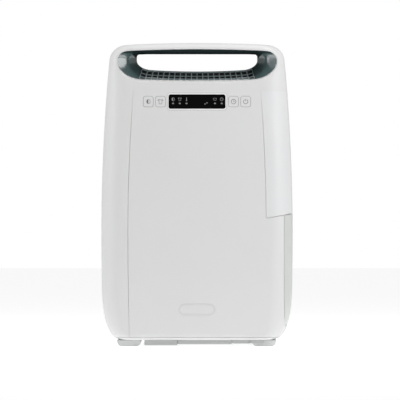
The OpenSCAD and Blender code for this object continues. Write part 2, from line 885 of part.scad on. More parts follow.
// Upright circuit board with transformer and relay, on a foot with two legs.
module power_board() {
    x = 30 - half_w;
    y0 = -80;
    y1 = -20;
    z = fan_z - 60;
    color("darkgreen") union() {
        block(x, x + 1.6, y0, y1, z, z + 80);
        block(x + 1.5, x + 20, y0 + 10, y0 + 32, z + 10, z + 38);
        block(x + 1.5, x + 14, y0 + 38, y1 - 8, z + 40, z + 65);
        block(x, x + 17, y0, y1, z - 2, z);
        for (y = [y0 + 4, y1 - 10]) block(x, x + 4, y, y + 6, deck_z + deck_t, z - 1);
    }
}

module run_capacitor() {
    x = -112;
    y = -76;
    h = 72;
    color("lightgray") union() {
        rod_z(x, y, floor_z, floor_z + h, 34);
        for (side = [-1, 1]) rod_z(x + 5 * side, y, floor_z + h - 1, floor_z + h + 8, 4);
    }
}

module terminal_block() {
    x = part_x - 37;
    y = -88;
    h = 18;
    color("ivory") difference() {
        block(x, x + 28, y, y + 22, floor_z, floor_z + h);
        for (i = [0 : 2]) rod_z(x + 5 + 9 * i, y + 11, floor_z + 8, floor_z + h + 1, 5);
    }
}

module cord_gland() {
    color("black") difference() {
        union() {
            rod_y(gland_x, gland_z, in_back - 8, back_y - 0.2, gland_d);
            rod_y(gland_x, gland_z, in_back - 3, in_back, gland_d + 8);
        }
        rod_y(gland_x, gland_z, in_back - 9, back_y + 1, 7.5);
    }
}

module humidity_sensor() {
    x = 66;
    y = 20;
    z = deck_z + deck_t;
    color("white") union() {
        block(x - 6, x + 6, y - 2, y + 2, z, z + 26);
        block(x - 10, x + 10, y - 8, y + 8, z, z + 2);
    }
}

module tank_switch() {
    y = 18;
    z = 118;
    color("black") block(part_x + bulk_t, tank_x0 - 1, y, y + 22, z, z + 14);
}

// ---- tank -------------------------------------------------------------

module tank_shell() {
    color("lightcyan") difference() {
        block(tank_x0, tank_x1, -tank_y, tank_y, tank_z0, tank_z1);
        block(tank_x0 + tank_wall, tank_x1 - tank_wall, -tank_y + tank_wall, tank_y - tank_wall,
            tank_z0 + tank_wall, tank_z1 + 1);
    }
}

module tank_panel() {
    grip = 34;
    color("lightcyan") union() {
        difference() {
            intersection() {
                skin();
                block(tank_edge + seam, body_w, -body_d, body_d, tank_sill + seam,
                    tank_top + slant_rise - seam);
                along_y(-body_d, body_d) polygon([[tank_edge - 40, 0], [body_w, 0],
                    [body_w, tank_top + slant_rise - seam], [half_w, tank_top + slant_rise - seam],
                    [slant_x0, tank_top - seam]]);
            }
            block(tank_edge, body_w, -grip, grip, tank_top - 11, tank_top + slant_rise + 1);
        }
        intersection() {
            envelope(wall / 2);
            union() for (y = [-60, 0, 60])
                block(tank_x1, body_w, y - 1.5, y + 1.5, tank_sill + 6, tank_z1 - 6);
        }
    }
}

module tank_lid() {
    inner = tank_wall + gap;
    color("lightgray") difference() {
        union() {
            block(tank_x0, tank_x1, -tank_y, tank_y, tank_z1, tank_z1 + lid_t);
            difference() {
                block(tank_x0 + inner, tank_x1 - inner, -tank_y + inner, tank_y - inner,
                    tank_z1 - 3, tank_z1 + 1);
                block(tank_x0 + inner + 2, tank_x1 - inner - 2, -tank_y + inner + 2, tank_y - inner - 2,
                    tank_z1 - 4, tank_z1 + 0.5);
            }
            for (x = [drip_x - 17, drip_x + 14])
                block(x, x + 3, float_y - 5, float_y + 5, float_z - 5, tank_z1 + 1);
        }
        rod_z(drip_x, drip_y, tank_z1 - 1, tank_z1 + lid_t + 1, 26);
        rod_z(tank_x1 - 26, -tank_y + 28, tank_z1 - 1, tank_z1 + lid_t + 1, 36);
        rod_x(drip_x - 20, drip_x + 20, float_y, float_z, 4);
    }
}

module float_pin() {
    color("silver") rod_x(drip_x - 17, drip_x + 17, float_y, float_z, 4);
}

module tank_float() {
    color("white") difference() {
        union() {
            rod_x(drip_x - 12, drip_x + 12, float_y, float_z, 8);
            block(drip_x - 4, drip_x + 4, float_y, float_y + 40, float_z - 2, float_z + 2);
            block(drip_x - 20, drip_x + 20, float_y + 36, float_y + 66, float_z - 16, float_z + 2);
        }
        rod_x(drip_x - 30, drip_x + 30, float_y, float_z, 4.1);
    }
}

// ---- filter, rear and drain ------------------------------------------

filter_z0 = rear_in_z0 - 3;
filter_z1 = body_h - lean_h + 27;

module filter_frame() {
    color("gray") difference() {
        block(-filter_x, filter_x, filter_y, filter_y + filter_t, filter_z0, filter_z1);
        for (i = [0 : 2], j = [0 : 1]) let (w = (2 * filter_x - 6) / 3, h = (filter_z1 - 14 - filter_z0) / 2)
            translate([-filter_x + 4 + w * i, filter_y - 1, filter_z0 + 4 + h * j])
                cube([w - 3, filter_t + 2, h - 3]);
    }
}

module filter_mesh() {
    t = 0.6;
    y = filter_y + filter_t / 2 - t / 2;
    color("darkgray") for (i = [0 : 2], j = [0 : 1]) let (w = (2 * filter_x - 6) / 3,
        h = (filter_z1 - 14 - filter_z0) / 2)
        translate([-filter_x + 4 + w * i, y, filter_z0 + 4 + h * j]) cube([w - 3, t, h - 3]);
}

module rear_grille() {
    x = rear_in_x - gap;
    z0 = rear_in_z0 + gap;
    z1 = rear_in_z1 - gap;
    slats = 16;
    pitch = (z1 - z0 - 6) / slats;
    color("white") difference() {
        block(-x, x, back_y - 4.6, back_y - 0.2, z0, z1);
        for (i = [0 : slats - 1], side = [-1, 1])
            translate([side > 0 ? 1.5 : -x + 3, back_y - 6, z0 + 3 + pitch * i + 1])
                cube([x - 4.5, 8, pitch - 2]);
    }
}

module rear_screws() {
    color("silver") for (p = rear_screws_at) union() {
        rod_y(p[0], p[1], in_back - 12, back_y - 1.6, 2.9);
        rod_y(p[0], p[1], back_y - 1.6, back_y - 0.2, 7);
    }
}

module drain_spout() {
    color("white") difference() {
        union() {
            rod_z(drain_x, drain_y, drain_z, tray_z, drain_d);
            rod_y(drain_x, drain_z, drain_y, drain_end, drain_d);
            translate([drain_x, drain_y, drain_z]) sphere(d = drain_d);
            rod_z(drain_x, drain_y, tray_z - 2, tray_z, drain_d + 4);
            rod_y(drain_x, drain_z, drain_stop - 2, drain_stop, drain_d + 4);
        }
        rod_z(drain_x, drain_y, drain_z, tray_z + 1, drain_d - 4);
        rod_y(drain_x, drain_z, drain_y, drain_end + 1, drain_d - 4);
    }
}

module drain_plug() {
    color("dimgray") union() {
        rod_y(drain_x, drain_z, drain_end - 12, drain_end + gap, drain_d - 4.2);
        rod_y(drain_x, drain_z, drain_end + 0.05, drain_end + 3, drain_d - 0.5);
    }
}

front_cover();
left_side_panel();
right_side_panel();
rear_cover();
base_tray();
base_skid();
rubber_feet();
outlet_funnel();
outlet_grille();
outlet_duct();
display_bezel();
display_window();
display_module();
badge();
control_board();
tact_switches();
board_screws();
drying_button();
laundry_button();
timer_button();
power_button();
bulkhead();
deck_plate();
bay_partition();
drip_tray();
evaporator_coil();
condenser_coil();
compressor();
compressor_pump();
compressor_grommets();
compressor_bolts();
accumulator();
discharge_pipe();
suction_pipe();
liquid_pipe();
capillary_tube();
filter_drier();
fan_wheel();
fan_shaft();
fan_scroll();
fan_motor();
power_board();
run_capacitor();
terminal_block();
cord_gland();
humidity_sensor();
tank_switch();
tank_shell();
tank_panel();
tank_lid();
float_pin();
tank_float();
filter_frame();
filter_mesh();
rear_grille();
rear_screws();
drain_spout();
drain_plug();
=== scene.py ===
"""The looks of a portable dehumidifier, dressed on its packed mechanical frame."""

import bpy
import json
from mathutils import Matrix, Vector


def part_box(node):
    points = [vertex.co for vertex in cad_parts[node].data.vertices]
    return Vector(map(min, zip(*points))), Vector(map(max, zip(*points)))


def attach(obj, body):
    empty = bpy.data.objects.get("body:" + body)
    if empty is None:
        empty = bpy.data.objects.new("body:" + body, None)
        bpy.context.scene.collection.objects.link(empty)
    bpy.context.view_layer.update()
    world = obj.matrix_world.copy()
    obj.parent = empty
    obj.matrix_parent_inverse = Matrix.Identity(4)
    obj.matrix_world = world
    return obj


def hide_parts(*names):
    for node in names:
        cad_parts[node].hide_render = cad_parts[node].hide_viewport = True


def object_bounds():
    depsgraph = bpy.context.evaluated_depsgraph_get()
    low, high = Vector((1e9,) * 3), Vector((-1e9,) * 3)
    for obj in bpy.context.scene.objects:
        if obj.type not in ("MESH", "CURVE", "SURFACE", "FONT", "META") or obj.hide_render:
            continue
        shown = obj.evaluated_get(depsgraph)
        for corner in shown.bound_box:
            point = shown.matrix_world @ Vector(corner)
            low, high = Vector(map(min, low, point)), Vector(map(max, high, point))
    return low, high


bl_info = {
    "name": "Dehumidifier",
    "version": (1, 0, 0),
    "blender": (4, 5, 0),
    "location": "3D View > Sidebar > Dehumidifier",
    "description": "Builds the covers, controls, tank and finishes of a portable dehumidifier",
    "category": "Add Mesh",
}

import json
import math

import bpy
import numpy as np
from bpy.props import FloatProperty, FloatVectorProperty, IntProperty, PointerProperty
from mathutils.geometry import delaunay_2d_cdt

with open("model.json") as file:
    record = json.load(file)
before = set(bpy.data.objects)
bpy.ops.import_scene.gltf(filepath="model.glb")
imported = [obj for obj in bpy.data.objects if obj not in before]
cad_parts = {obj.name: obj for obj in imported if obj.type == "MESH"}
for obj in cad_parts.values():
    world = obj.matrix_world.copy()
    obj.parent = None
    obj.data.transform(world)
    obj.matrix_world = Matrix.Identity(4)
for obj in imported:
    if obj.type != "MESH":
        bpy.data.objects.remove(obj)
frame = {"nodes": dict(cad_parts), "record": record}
CAD_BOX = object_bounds()

MM = 0.001
QUARTER = math.pi / 2
TIGHT = 0.3  # lip radius of an edge that looks sharp
SEAM = 0.4  # gap between neighbouring covers
LINE = 0.15  # gap seen along the front seams
FINE = 0.02  # gap and lip of a seam that is all but closed


def box_mm(node):
    """Lowest and highest corner of a frame node, in mm."""
    low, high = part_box(node)
    return np.array(low) / MM, np.array(high) / MM


# ---- sizes and colours ------------------------------------------------------


def length(name, description, default):
    return FloatProperty(name=name, description=description, default=default * MM, unit="LENGTH", precision=4)


def colour(name, description, default):
    return FloatVectorProperty(name=name, description=description, default=default, subtype="COLOR",
                               size=3, min=0, max=1)


class FormSizes(bpy.types.PropertyGroup):
    front_r: length("Front corner", "Radius of the front corners in plan", 42)
    rear_r: length("Rear corner", "Radius of the rear corners in plan", 30)
    belly_z: length("Belly height", "Height of the widest level", 190)
    top_draw: length("Top draw", "How far each side draws in from the belly to the top", 16.5)
    corner_w: length("Foot curve width", "How far the lower corners sweep in", 32)
    corner_h: length("Foot curve height", "Height over which the lower corners sweep in", 90)
    crown_r: length("Crown radius", "Radius of the upper corners seen from the front", 26)
    crown_drop: length("Crown arch", "How far the top falls from its middle to its corners", 3)
    edge_r: length("Top edge", "Radius of the front edge of the top", 12)
    base_r: length("Base edge", "Radius of the edge along the bottom", 7)
    rear_lean: length("Rear lean", "How far the back leans forward at the top", 85)
    lean_h: length("Lean height", "Height over which the back leans", 127)
    seam_inset: length("Seam inset", "Distance of the front seams from the side of the body", 45.5)
    seam_lip: length("Seam roundness", "Radius of the cover edges along the front seams", 1.3)


class OutletSizes(bpy.types.PropertyGroup):
    throat_x: length("Throat half width", "Half width of the hole that goes right through", 102)
    throat_low: length("Throat bottom", "Height of the throat's bottom above the mouth's", 16.6)
    throat_h: length("Throat height", "Height of the hole that goes right through", 29)
    throat_y: length("Throat depth", "Where the funnel reaches the throat, along Y", -40)
    rim_low: length("Lower rim", "Radius of the mouth's rim along its bottom", 5)
    rim_high: length("Upper rim", "Radius of the mouth's rim along its top and ends", 1.6)
    bow: length("Bow", "How far the mouth's lower edge sags at the middle", 4.2)
    cells: IntProperty(name="Grille cells", description="Number of cells along the outlet grille", default=20)
    rows: IntProperty(name="Grille rows", description="Number of rows across the outlet grille", default=3)
    rib: length("Grille rib", "Width of a rib of the outlet grille", 1.7)


class Colours(bpy.types.PropertyGroup):
    shell: colour("Shell", "White of the front, left and rear covers", (0.63, 0.632, 0.63))
    # painted light: the right side panel's white is a little lighter and bluer than the shell, standing in
    # for the bluish light that side catches
    side: colour("Side", "White of the right side panel", (0.65, 0.654, 0.658))
    teal: colour("Lining", "Glossy lining of the outlet funnel", (0.085, 0.130, 0.132))
    rib: colour("Grille", "Ribs of the outlet grille", (0.60, 0.70, 0.71))
    rim: colour("Display rim", "Moulded rim round the display", (0.80, 0.80, 0.80))
    glass: colour("Display", "Black of the display window", (0.0015, 0.0015, 0.0015))
    lit: colour("Display marks", "Unlit marks behind the display window", (0.22, 0.22, 0.22))
    ink: colour("Printed marks", "Symbols printed on the buttons", (0.15, 0.15, 0.15))
    tank: colour("Tank", "Tinted plastic of the water tank", (0.70, 0.715, 0.70))
    skid: colour("Skids", "Grey plastic under the base", (0.44, 0.45, 0.45))
    rubber: colour("Feet", "Grey rubber of the feet", (0.56, 0.57, 0.57))


class DehumidifierSettings(bpy.types.PropertyGroup):
    form: PointerProperty(type=FormSizes)
    outlet: PointerProperty(type=OutletSizes)
    colours: PointerProperty(type=Colours)


def settings():
    return bpy.context.scene.dehumidifier


# ---- the body's outer form --------------------------------------------------


class Skin:
    """The outer form: s runs round it from the middle of the front to the right, v runs up it, in mm."""

    def __init__(self):
        for name in FormSizes.__annotations__:
            setattr(self, name, getattr(settings().form, name) / MM)
        self.half_w = CAD_BOX[1].x / MM
        self.back_y = CAD_BOX[1].y / MM
        self.body_h = CAD_BOX[1].z / MM
        self.front_y = box_mm("badge")[1][1]
        self.foot_h = box_mm("base_tray")[0][2]
        self.floor_z = box_mm("front_cover")[0][2] - SEAM
        self.frame_z = box_mm("left_side_panel")[1][2] + SEAM
        self.side_back = box_mm("left_side_panel")[1][1]
        self.split_y = box_mm("front_cover")[1][1]
        # lengths of the stretches of the plan contour
        self.flat = self.half_w - self.front_r
        self.bend = self.flat + self.front_r * QUARTER
        self.straight = self.bend + (self.back_y - self.rear_r) - (self.front_y + self.front_r)
        self.turn = self.straight + self.rear_r * QUARTER
        self.girth = self.turn + self.half_w - self.rear_r
        self.v_low = self.foot_h + self.base_r * (1 - QUARTER)
        self.v_top = self.body_h - self.edge_r * (1 - QUARTER)
        self.v_end = self.v_top + self.split_y - self.front_y - self.edge_r
        self.crown_x = self.side_x(self.body_h) - self.crown_r
        self.split_s, self.split_x = self.girth, 0
        self.split_s = self.s_at_y(self.split_y, self.v_top)
        self.split_x = self(np.array([self.split_s]), np.array([self.v_top]))[0, 0]

    def side_x(self, z):
        high = np.clip((z - self.belly_z) / (self.body_h - self.belly_z), 0, 1)
        low = np.clip((self.belly_z - z) / self.belly_z, 0, 1)
        return self.half_w - self.top_draw * (high**2 + 0.2 * low**2)

    def rear_y(self, z):
        lean = np.clip((z - (self.body_h - self.lean_h)) / self.lean_h, 0, 1)
        return self.back_y - self.rear_lean * lean**1.35

    def plan(self, a):
        """Plan contour at its widest, at distance a from the middle of the front."""
        front = np.clip((a - self.flat) / self.front_r, 0, QUARTER)
        rear = np.clip((a - self.straight) / self.rear_r, 0, QUARTER)
        x = np.clip(a, 0, self.flat) + self.front_r * np.sin(front)
        x = x - self.rear_r * (1 - np.cos(rear)) - np.clip(a - self.turn, 0, None)
        y = self.front_y + self.front_r * (1 - np.cos(front)) + np.clip(a, self.bend, self.straight)
        return x, y - self.bend + self.rear_r * np.sin(rear)

    def __call__(self, s, v):
        s = (s + self.girth) % (2 * self.girth) - self.girth
        a = np.abs(s)
        xc, yc = self.plan(a)
        top = np.clip((v - (self.body_h - self.edge_r)) / self.edge_r, 0, QUARTER)
        low = np.clip((self.foot_h + self.base_r - v) / self.base_r, 0, QUARTER)
        z = np.clip(v, self.foot_h + self.base_r, self.body_h - self.edge_r)
        z = z + self.edge_r * np.sin(top) - self.base_r * np.sin(low)
        sweep = np.clip((self.foot_h + self.corner_h - z) / self.corner_h, 0, 1)
        sweep = self.corner_w * (1 - (1 - sweep**2.5) ** 0.4)
        up = np.clip(z - (self.body_h - self.crown_r), 0, self.crown_r)
        crown = self.crown_r - np.sqrt(self.crown_r**2 - up**2)
        outer = np.clip((xc / self.half_w - 0.55) / 0.45, 0, 1) ** 1.6
        x = xc * self.side_x(z) / self.half_w - (sweep + crown) * outer
        roll = self.base_r * (1 - np.cos(low))
        yf = self.front_y + self.edge_r * (1 - np.cos(top)) + roll
        yb = self.rear_y(z) - 0.35 * self.edge_r * (1 - np.cos(top)) - roll
        y = yf + (yc - self.front_y) * (yb - yf) / (self.back_y - self.front_y)
        # over the top each line runs on to the split between the front and rear covers
        cap = np.clip((v - self.v_top) / (self.v_end - self.v_top), 0, 1)
        ahead = a / self.split_s
        behind = (self.girth - a) / max(self.girth - self.split_s, 1)
        x = x + (self.split_x * np.minimum(ahead, behind) - x) * cap
        y = y + (self.split_y - y) * cap
        rise = np.clip((z - self.frame_z) / (self.body_h - self.frame_z), 0, 1)
        z = z - self.crown_drop * np.minimum((x / self.crown_x) ** 2, 1) * rise**2 * (3 - 2 * rise)
        return np.stack([np.where(s < 0, -x, x), y, z], -1)

    def find(self, axis, target, v, low, high):
        """s between low and high at which the skin's coordinate along an axis is the target."""
        ends = self(np.array([low, high]), np.array([v, v]))[:, axis]
        sign = 1 if ends[1] > ends[0] else -1
        for _ in range(30):
            middle = (low + high) / 2
            if sign * (self(np.array([middle]), np.array([v]))[0, axis] - target) < 0:
                low = middle
            else:
                high = middle
        return (low + high) / 2

    def s_at_x(self, x, v):
        return math.copysign(self.find(0, abs(x), v, 0, self.bend), x)

    def s_at_y(self, y, v):
        return self.find(1, y, v, self.flat, self.turn)

    def s_at_rear_x(self, x, v):
        """Rear position counted on round the body, so that it grows from right to left."""
        near = self.find(0, abs(x), v, self.straight, self.girth)
        return near if x >= 0 else 2 * self.girth - near

    def seam_x(self, z):
        return self.side_x(z) - self.seam_inset


# ---- mesh building ----------------------------------------------------------


def unit(vectors):
    size = np.linalg.norm(vectors, axis=-1, keepdims=True)
    return vectors / np.where(size > 1e-9, size, 1)


def front_plane(y):
    return lambda u, v: np.stack([u, np.full_like(u, y), v], -1)


def rear_plane(y):
    return lambda u, v: np.stack([-u, np.full_like(u, y), v], -1)


def side_plane(x):
    return lambda u, v: np.stack([np.full_like(u, x), u, v], -1)


def top_plane(z):
    return lambda u, v: np.stack([u, v, np.full_like(u, z)], -1)


def bottom_plane(z):
    return lambda u, v: np.stack([u, -v, np.full_like(u, z)], -1)


def arc(cx, cy, rx, ry, start, end, steps, lip=TIGHT):
    """Points of an elliptic arc between two angles in degrees."""
    return [(cx + rx * math.cos(math.radians(a)), cy + ry * math.sin(math.radians(a)), lip)
            for a in np.linspace(start, end, steps + 1)]


def rounded(cx, cy, w, h, r, lip=TIGHT, steps=6):
    """Rounded rectangle, anticlockwise."""
    x, y = w / 2 - r, h / 2 - r
    return [p for i, (sx, sy) in enumerate([(1, -1), (1, 1), (-1, 1), (-1, -1)])
            for p in arc(cx + sx * x, cy + sy * y, r, r, 90 * i - 90, 90 * i, steps, lip)]


def ring(cx, cy, r, lip=TIGHT, steps=24):
    return arc(cx, cy, r, r, 0, 360, steps, lip)[:-1]


def polygon(points, lip=TIGHT):
    return [(x, y, lip) for x, y in points]


def spaced(loop, pitch):
    """The loop as an array, with its long edges divided."""
    loop = np.array(loop, float)
    made = []
    for a, b in zip(loop, np.roll(loop, -1, 0)):
        steps = max(1, int(math.ceil(np.hypot(*(b - a)[:2]) / pitch)))
        made += [a + (b - a) * i / steps for i in range(steps)]
    keep = [p for p, q in zip(made, made[1:] + made[:1]) if np.hypot(*(q - p)[:2]) > 1e-4]
    return np.array(keep)


def turned_to(loop, anticlockwise):
    x, y = loop[:, 0], loop[:, 1]
    area = np.sum(x * np.roll(y, -1) - np.roll(x, -1) * y)
    return loop if (area > 0) == anticlockwise else loop[::-1]


def inside(points, loops):
    """Which points lie within the first loop and outside the others."""
    odd = np.zeros(len(points), bool)
    for loop in loops:
        a, b = loop[:, :2], np.roll(loop[:, :2], -1, 0)
        for (x0, y0), (x1, y1) in zip(a, b):
            if y0 != y1:
                crosses = (points[:, 1] > y0) != (points[:, 1] > y1)
                odd ^= crosses & (points[:, 0] < x0 + (points[:, 1] - y0) * (x1 - x0) / (y1 - y0))
    return odd


class Surface:
    """A surface in two parameters, with its normals by small differences."""

    def __init__(self, place, bulge=None):
        self.place, self.bulge = place, bulge

    def frame_at(self, u, v, step=0.04):
        """The normal and the tangents along u and v."""
        du = self.place(u + step, v) - self.place(u - step, v)
        dv = self.place(u, v + step) - self.place(u, v - step)
        normal = np.cross(du, dv)
        flat = np.linalg.norm(normal, axis=-1) < 1e-7
        normal[flat] = (0, 0, 1)
        return unit(normal), unit(du), unit(dv)

    def raised(self, u, v):
        base = self.place(u, v)
        if self.bulge is None:
            return base
        return base + self.frame_at(u, v)[0] * self.bulge(u, v)[:, None]

    def at(self, uv, depth=0.0):
        u, v = uv[:, 0], uv[:, 1]
        plain = Surface(self.raised) if self.bulge else self
        normal, du, dv = plain.frame_at(u, v)
        return self.raised(u, v) - normal * np.asarray(depth).reshape(-1, 1), normal, du, dv


def moulding(place, outer, holes=(), thick=2.6, pitch=6.0, rows=3, back=TIGHT, us=None, vs=None, bulge=None):
    """A moulded sheet: an outline with holes on a surface, with rolled lips and a closed back.

    Loops hold (u, v, lip radius). Returns points, faces and normals in mm."""
    surface = Surface(place, bulge)
    loops = [turned_to(spaced(outer, pitch), True)] + [turned_to(spaced(h, pitch), False) for h in holes]
    away = []
    for loop in loops:
        step = unit(np.roll(loop[:, :2], -1, 0) - loop[:, :2])
        right = np.stack([step[:, 1], -step[:, 0]], -1)
        both = right + np.roll(right, 1, 0)
        mean = unit(both)
        scale = 1 / np.clip(np.sum(mean * right, -1), 0.6, 1)
        away.append(mean * scale[:, None])
    edge, away = np.concatenate(loops), np.concatenate(away)
    uv, lip = edge[:, :2], edge[:, 2:3]
    inset = uv - away * lip
    starts = np.cumsum([0] + [len(loop) for loop in loops])
    shown = [inset[starts[i]:starts[i + 1]] for i in range(len(loops))]

    low, high = uv.min(0), uv.max(0)
    us = np.arange(low[0] + pitch / 2, high[0], pitch) if us is None else us
    vs = np.arange(low[1] + pitch / 2, high[1], pitch) if vs is None else vs
    grid = np.stack(np.meshgrid(us, vs), -1).reshape(-1, 2)
    grid = grid[inside(grid, shown)]
    if len(grid):
        room = np.array([np.min(np.sum((inset - g) ** 2, -1)) for g in grid])
        grid = grid[room > (0.4 * pitch) ** 2]
    flat = np.concatenate([inset, grid.reshape(-1, 2)])
    edges = [(a + i, a + (i + 1) % (b - a)) for a, b in zip(starts[:-1], starts[1:]) for i in range(b - a)]
    made = delaunay_2d_cdt([tuple(p) for p in flat], edges, [], 0, 1e-5)
    sources = [origin[0] if origin else -1 for origin in made[3]]
    if -1 in sources:
        raise RuntimeError("a moulding's lips cross each other")
    corners = np.array(made[0], float).reshape(-1, 2)
    triangles = np.array([list(f) for f in made[2]])
    middles = corners[triangles].mean(1)
    triangles = triangles[inside(middles, shown)]
    area = np.cross(corners[triangles[:, 1]] - corners[triangles[:, 0]],
                    corners[triangles[:, 2]] - corners[triangles[:, 0]])
    triangles[area < 0] = triangles[area < 0][:, ::-1]
    triangles = np.array(sources)[triangles]

    points, normals = [], []
    count, interior = len(uv), len(grid)
    turns = [(t, lip, 0) for t in np.linspace(0, QUARTER, rows + 1)]
    turns += [(t, np.full_like(lip, back), 1) for t in np.linspace(QUARTER, 0, 2)]
    for t, radius, behind in turns:
        spot = uv - away * radius * (1 - math.sin(t))
        depth = (radius * (1 - math.cos(t)))[:, 0]
        depth = thick - depth if behind else depth
        p, n, du, dv = surface.at(spot, depth)
        side = du * away[:, :1] + dv * away[:, 1:]
        side = unit(side - n * np.sum(side * n, -1, keepdims=True))
        points.append(p)
        normals.append(unit((-n if behind else n) * math.cos(t) + side * math.sin(t)))
    layers = len(turns)
    if interior:
        front, n, _, _ = surface.at(grid)
        rear, _, _, _ = surface.at(grid, thick)
        points += [front, rear]
        normals += [n, -n]
    first = layers * count

    faces = []
    for tri in triangles:
        faces.append([int(i) if i < count else int(first + i - count) for i in tri])
        faces.append([int(i + (layers - 1) * count) if i < count else int(first + interior + i - count)
                      for i in tri[::-1]])
    for layer in range(layers - 1):
        a, b = layer * count, (layer + 1) * count
        for i, j in edges:
            faces.append([a + j, a + i, b + i, b + j])
    return np.concatenate(points), faces, np.concatenate(normals)


def loft(rings, closed=True, caps=True):
    """Skin a stack of rings of points, with flat ends."""
    rings = np.array(rings, float)
    count, size = rings.shape[:2]
    faces = []
    for i in range(count - 1):
        for j in range(size if closed else size - 1):
            k = (j + 1) % size
            faces.append([i * size + j, i * size + k, (i + 1) * size + k, (i + 1) * size + j])
    if caps:
        faces.append(list(range(size))[::-1])
        faces.append([(count - 1) * size + j for j in range(size)])
    return rings.reshape(-1, 3), faces, None


def turned(centre, axis, profile, steps=40):
    """A solid of revolution: the profile holds (radius, distance along the axis)."""
    angles = np.linspace(0, 2 * math.pi, steps, endpoint=False)
    u, v = [i for i in range(3) if i != axis]
    if axis == 1:
        u, v = v, u
    made = []
    for radius, along in profile:
        one = np.zeros((steps, 3)) + np.array(centre)
        one[:, u] += radius * np.cos(angles)
        one[:, v] += radius * np.sin(angles)
        one[:, axis] += along
        made.append(one)
    return loft(made)


def joined(*parts):
    """Several meshes as one."""
    points, faces, normals, first = [], [], [], 0
    for p, f, n in parts:
        points.append(p)
        faces += [[i + first for i in face] for face in f]
        normals.append(np.zeros_like(p) if n is None else n)
        first += len(p)
    return np.concatenate(points), faces, np.concatenate(normals)


def piece(name, shape, material, body, slot, *replaced):
    """Makes a shape an object that rides on a body and stands for frame nodes."""
    points, faces, normals = shape
    mesh = bpy.data.meshes.new(name)
    mesh.from_pydata([tuple(p) for p in points * MM], [], faces)
    mesh.validate()
    mesh.polygons.foreach_set("use_smooth", [True] * len(mesh.polygons))
    mesh.set_sharp_from_angle(angle=math.radians(38))
    if normals is not None and len(normals) == len(mesh.vertices):
        mesh.normals_split_custom_set_from_vertices([tuple(n) for n in normals])
    mesh.materials.append(material)
    made = bpy.data.objects.new(name, mesh)
    bpy.context.scene.collection.objects.link(made)
    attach(made, body)
    if replaced:
        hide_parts(*replaced)
    return made


# ---- materials --------------------------------------------------------------


class Value:
    """A shader socket that takes part in arithmetic."""

    def __init__(self, shader, socket):
        self.shader, self.socket = shader, socket

    def maths(self, operation, *inputs):
        made = self.shader.node("ShaderNodeMath", {"operation": operation}, *inputs)
        return Value(self.shader, made.outputs[0])

    def __add__(self, other): return self.maths("ADD", self, other)
    def __sub__(self, other): return self.maths("SUBTRACT", self, other)
    def __mul__(self, other): return self.maths("MULTIPLY", self, other)
    def __truediv__(self, other): return self.maths("DIVIDE", self, other)
    def __pow__(self, other): return self.maths("POWER", self, other)
    def __radd__(self, other): return self.maths("ADD", other, self)
    def __rsub__(self, other): return self.maths("SUBTRACT", other, self)
    def __rmul__(self, other): return self.maths("MULTIPLY", other, self)
    def __gt__(self, other): return self.maths("GREATER_THAN", self, other)
    def __lt__(self, other): return self.maths("LESS_THAN", self, other)


class Shader:
    """A procedural material with one principled surface."""

    def __init__(self, name, **surface):
        self.material = bpy.data.materials.new(name)
        self.material.use_nodes = True
        self.tree = self.material.node_tree
        self.surface = self.tree.nodes["Principled BSDF"]
        self.place = Value(self, self.node("ShaderNodeTexCoord").outputs["Object"])
        for socket, value in surface.items():
            self.set(self.surface.inputs[socket.replace("_", " ")], value)

    def set(self, socket, value):
        if isinstance(value, Value):
            self.tree.links.new(value.socket, socket)
        elif hasattr(value, "__len__") and socket.type == "RGBA" and len(value) == 3:
            socket.default_value = (*value, 1)
        else:
            socket.default_value = value

    def node(self, kind, options=None, *inputs, **named):
        made = self.tree.nodes.new(kind)
        for name, value in (options or {}).items():
            setattr(made, name, value)
        for socket, value in zip(made.inputs, inputs):
            self.set(socket, value)
        for name, value in named.items():
            self.set(made.inputs[name.replace("_", " ")], value)
        return made

    def noise(self, scale, detail=2.0, roughness=0.5, place=None):
        """Noise from 0 to 1 whose features are about 1 / scale metres."""
        made = self.node("ShaderNodeTexNoise", {}, Vector=place or self.place, Scale=scale, Detail=detail,
                         Roughness=roughness)
        return Value(self, made.outputs["Fac"])

    def mix(self, factor, a, b):
        made = self.node("ShaderNodeMix", {"data_type": "RGBA"})
        self.set(made.inputs[0], factor)
        self.set(made.inputs[6], a)
        self.set(made.inputs[7], b)
        return Value(self, made.outputs[2])

    def axis(self, index):
        made = self.node("ShaderNodeSeparateXYZ", {}, self.place)
        return Value(self, made.outputs[index])

    def stretched(self, x, y, z):
        made = self.node("ShaderNodeMapping", {}, Vector=self.place, Scale=(x, y, z))
        return Value(self, made.outputs[0])

    def wave(self, direction, scale, distortion=0.0):
        made = self.node("ShaderNodeTexWave", {"bands_direction": direction}, Vector=self.place, Scale=scale,
                         Distortion=distortion)
        return Value(self, made.outputs["Fac"])

    def step(self, value):
        """A value held between 0 and 1."""
        made = self.node("ShaderNodeClamp", {}, value)
        return Value(self, made.outputs[0])

    def colour(self, value):
        self.set(self.surface.inputs["Base Color"], value)

    def roughness(self, value):
        self.set(self.surface.inputs["Roughness"], value)

    def bump(self, height, distance, strength=1.0):
        made = self.node("ShaderNodeBump", {}, Height=height, Distance=distance, Strength=strength)
        self.set(self.surface.inputs["Normal"], Value(self, made.outputs[0]))


def shade(base, factor):
    return tuple(min(1.0, c * factor) for c in base)


def satin_plastic(name, base, roughness=0.36, grain=0.00006, coat=0.0):
    """Moulded plastic with a fine spark-eroded texture and faint flow marks."""
    made = Shader(name, IOR=1.5, Coat_Weight=coat)
    flow = made.noise(9, 3)
    fine = made.noise(1500, 2, 0.6)
    specks = made.noise(420, 1) > 0.78
    made.colour(made.mix(flow, shade(base, 0.985), shade(base, 1.015)))
    made.roughness(roughness + 0.06 * fine + 0.03 * flow + 0.05 * specks)
    made.bump(fine + 0.4 * made.noise(600, 1), grain)
    return made.material


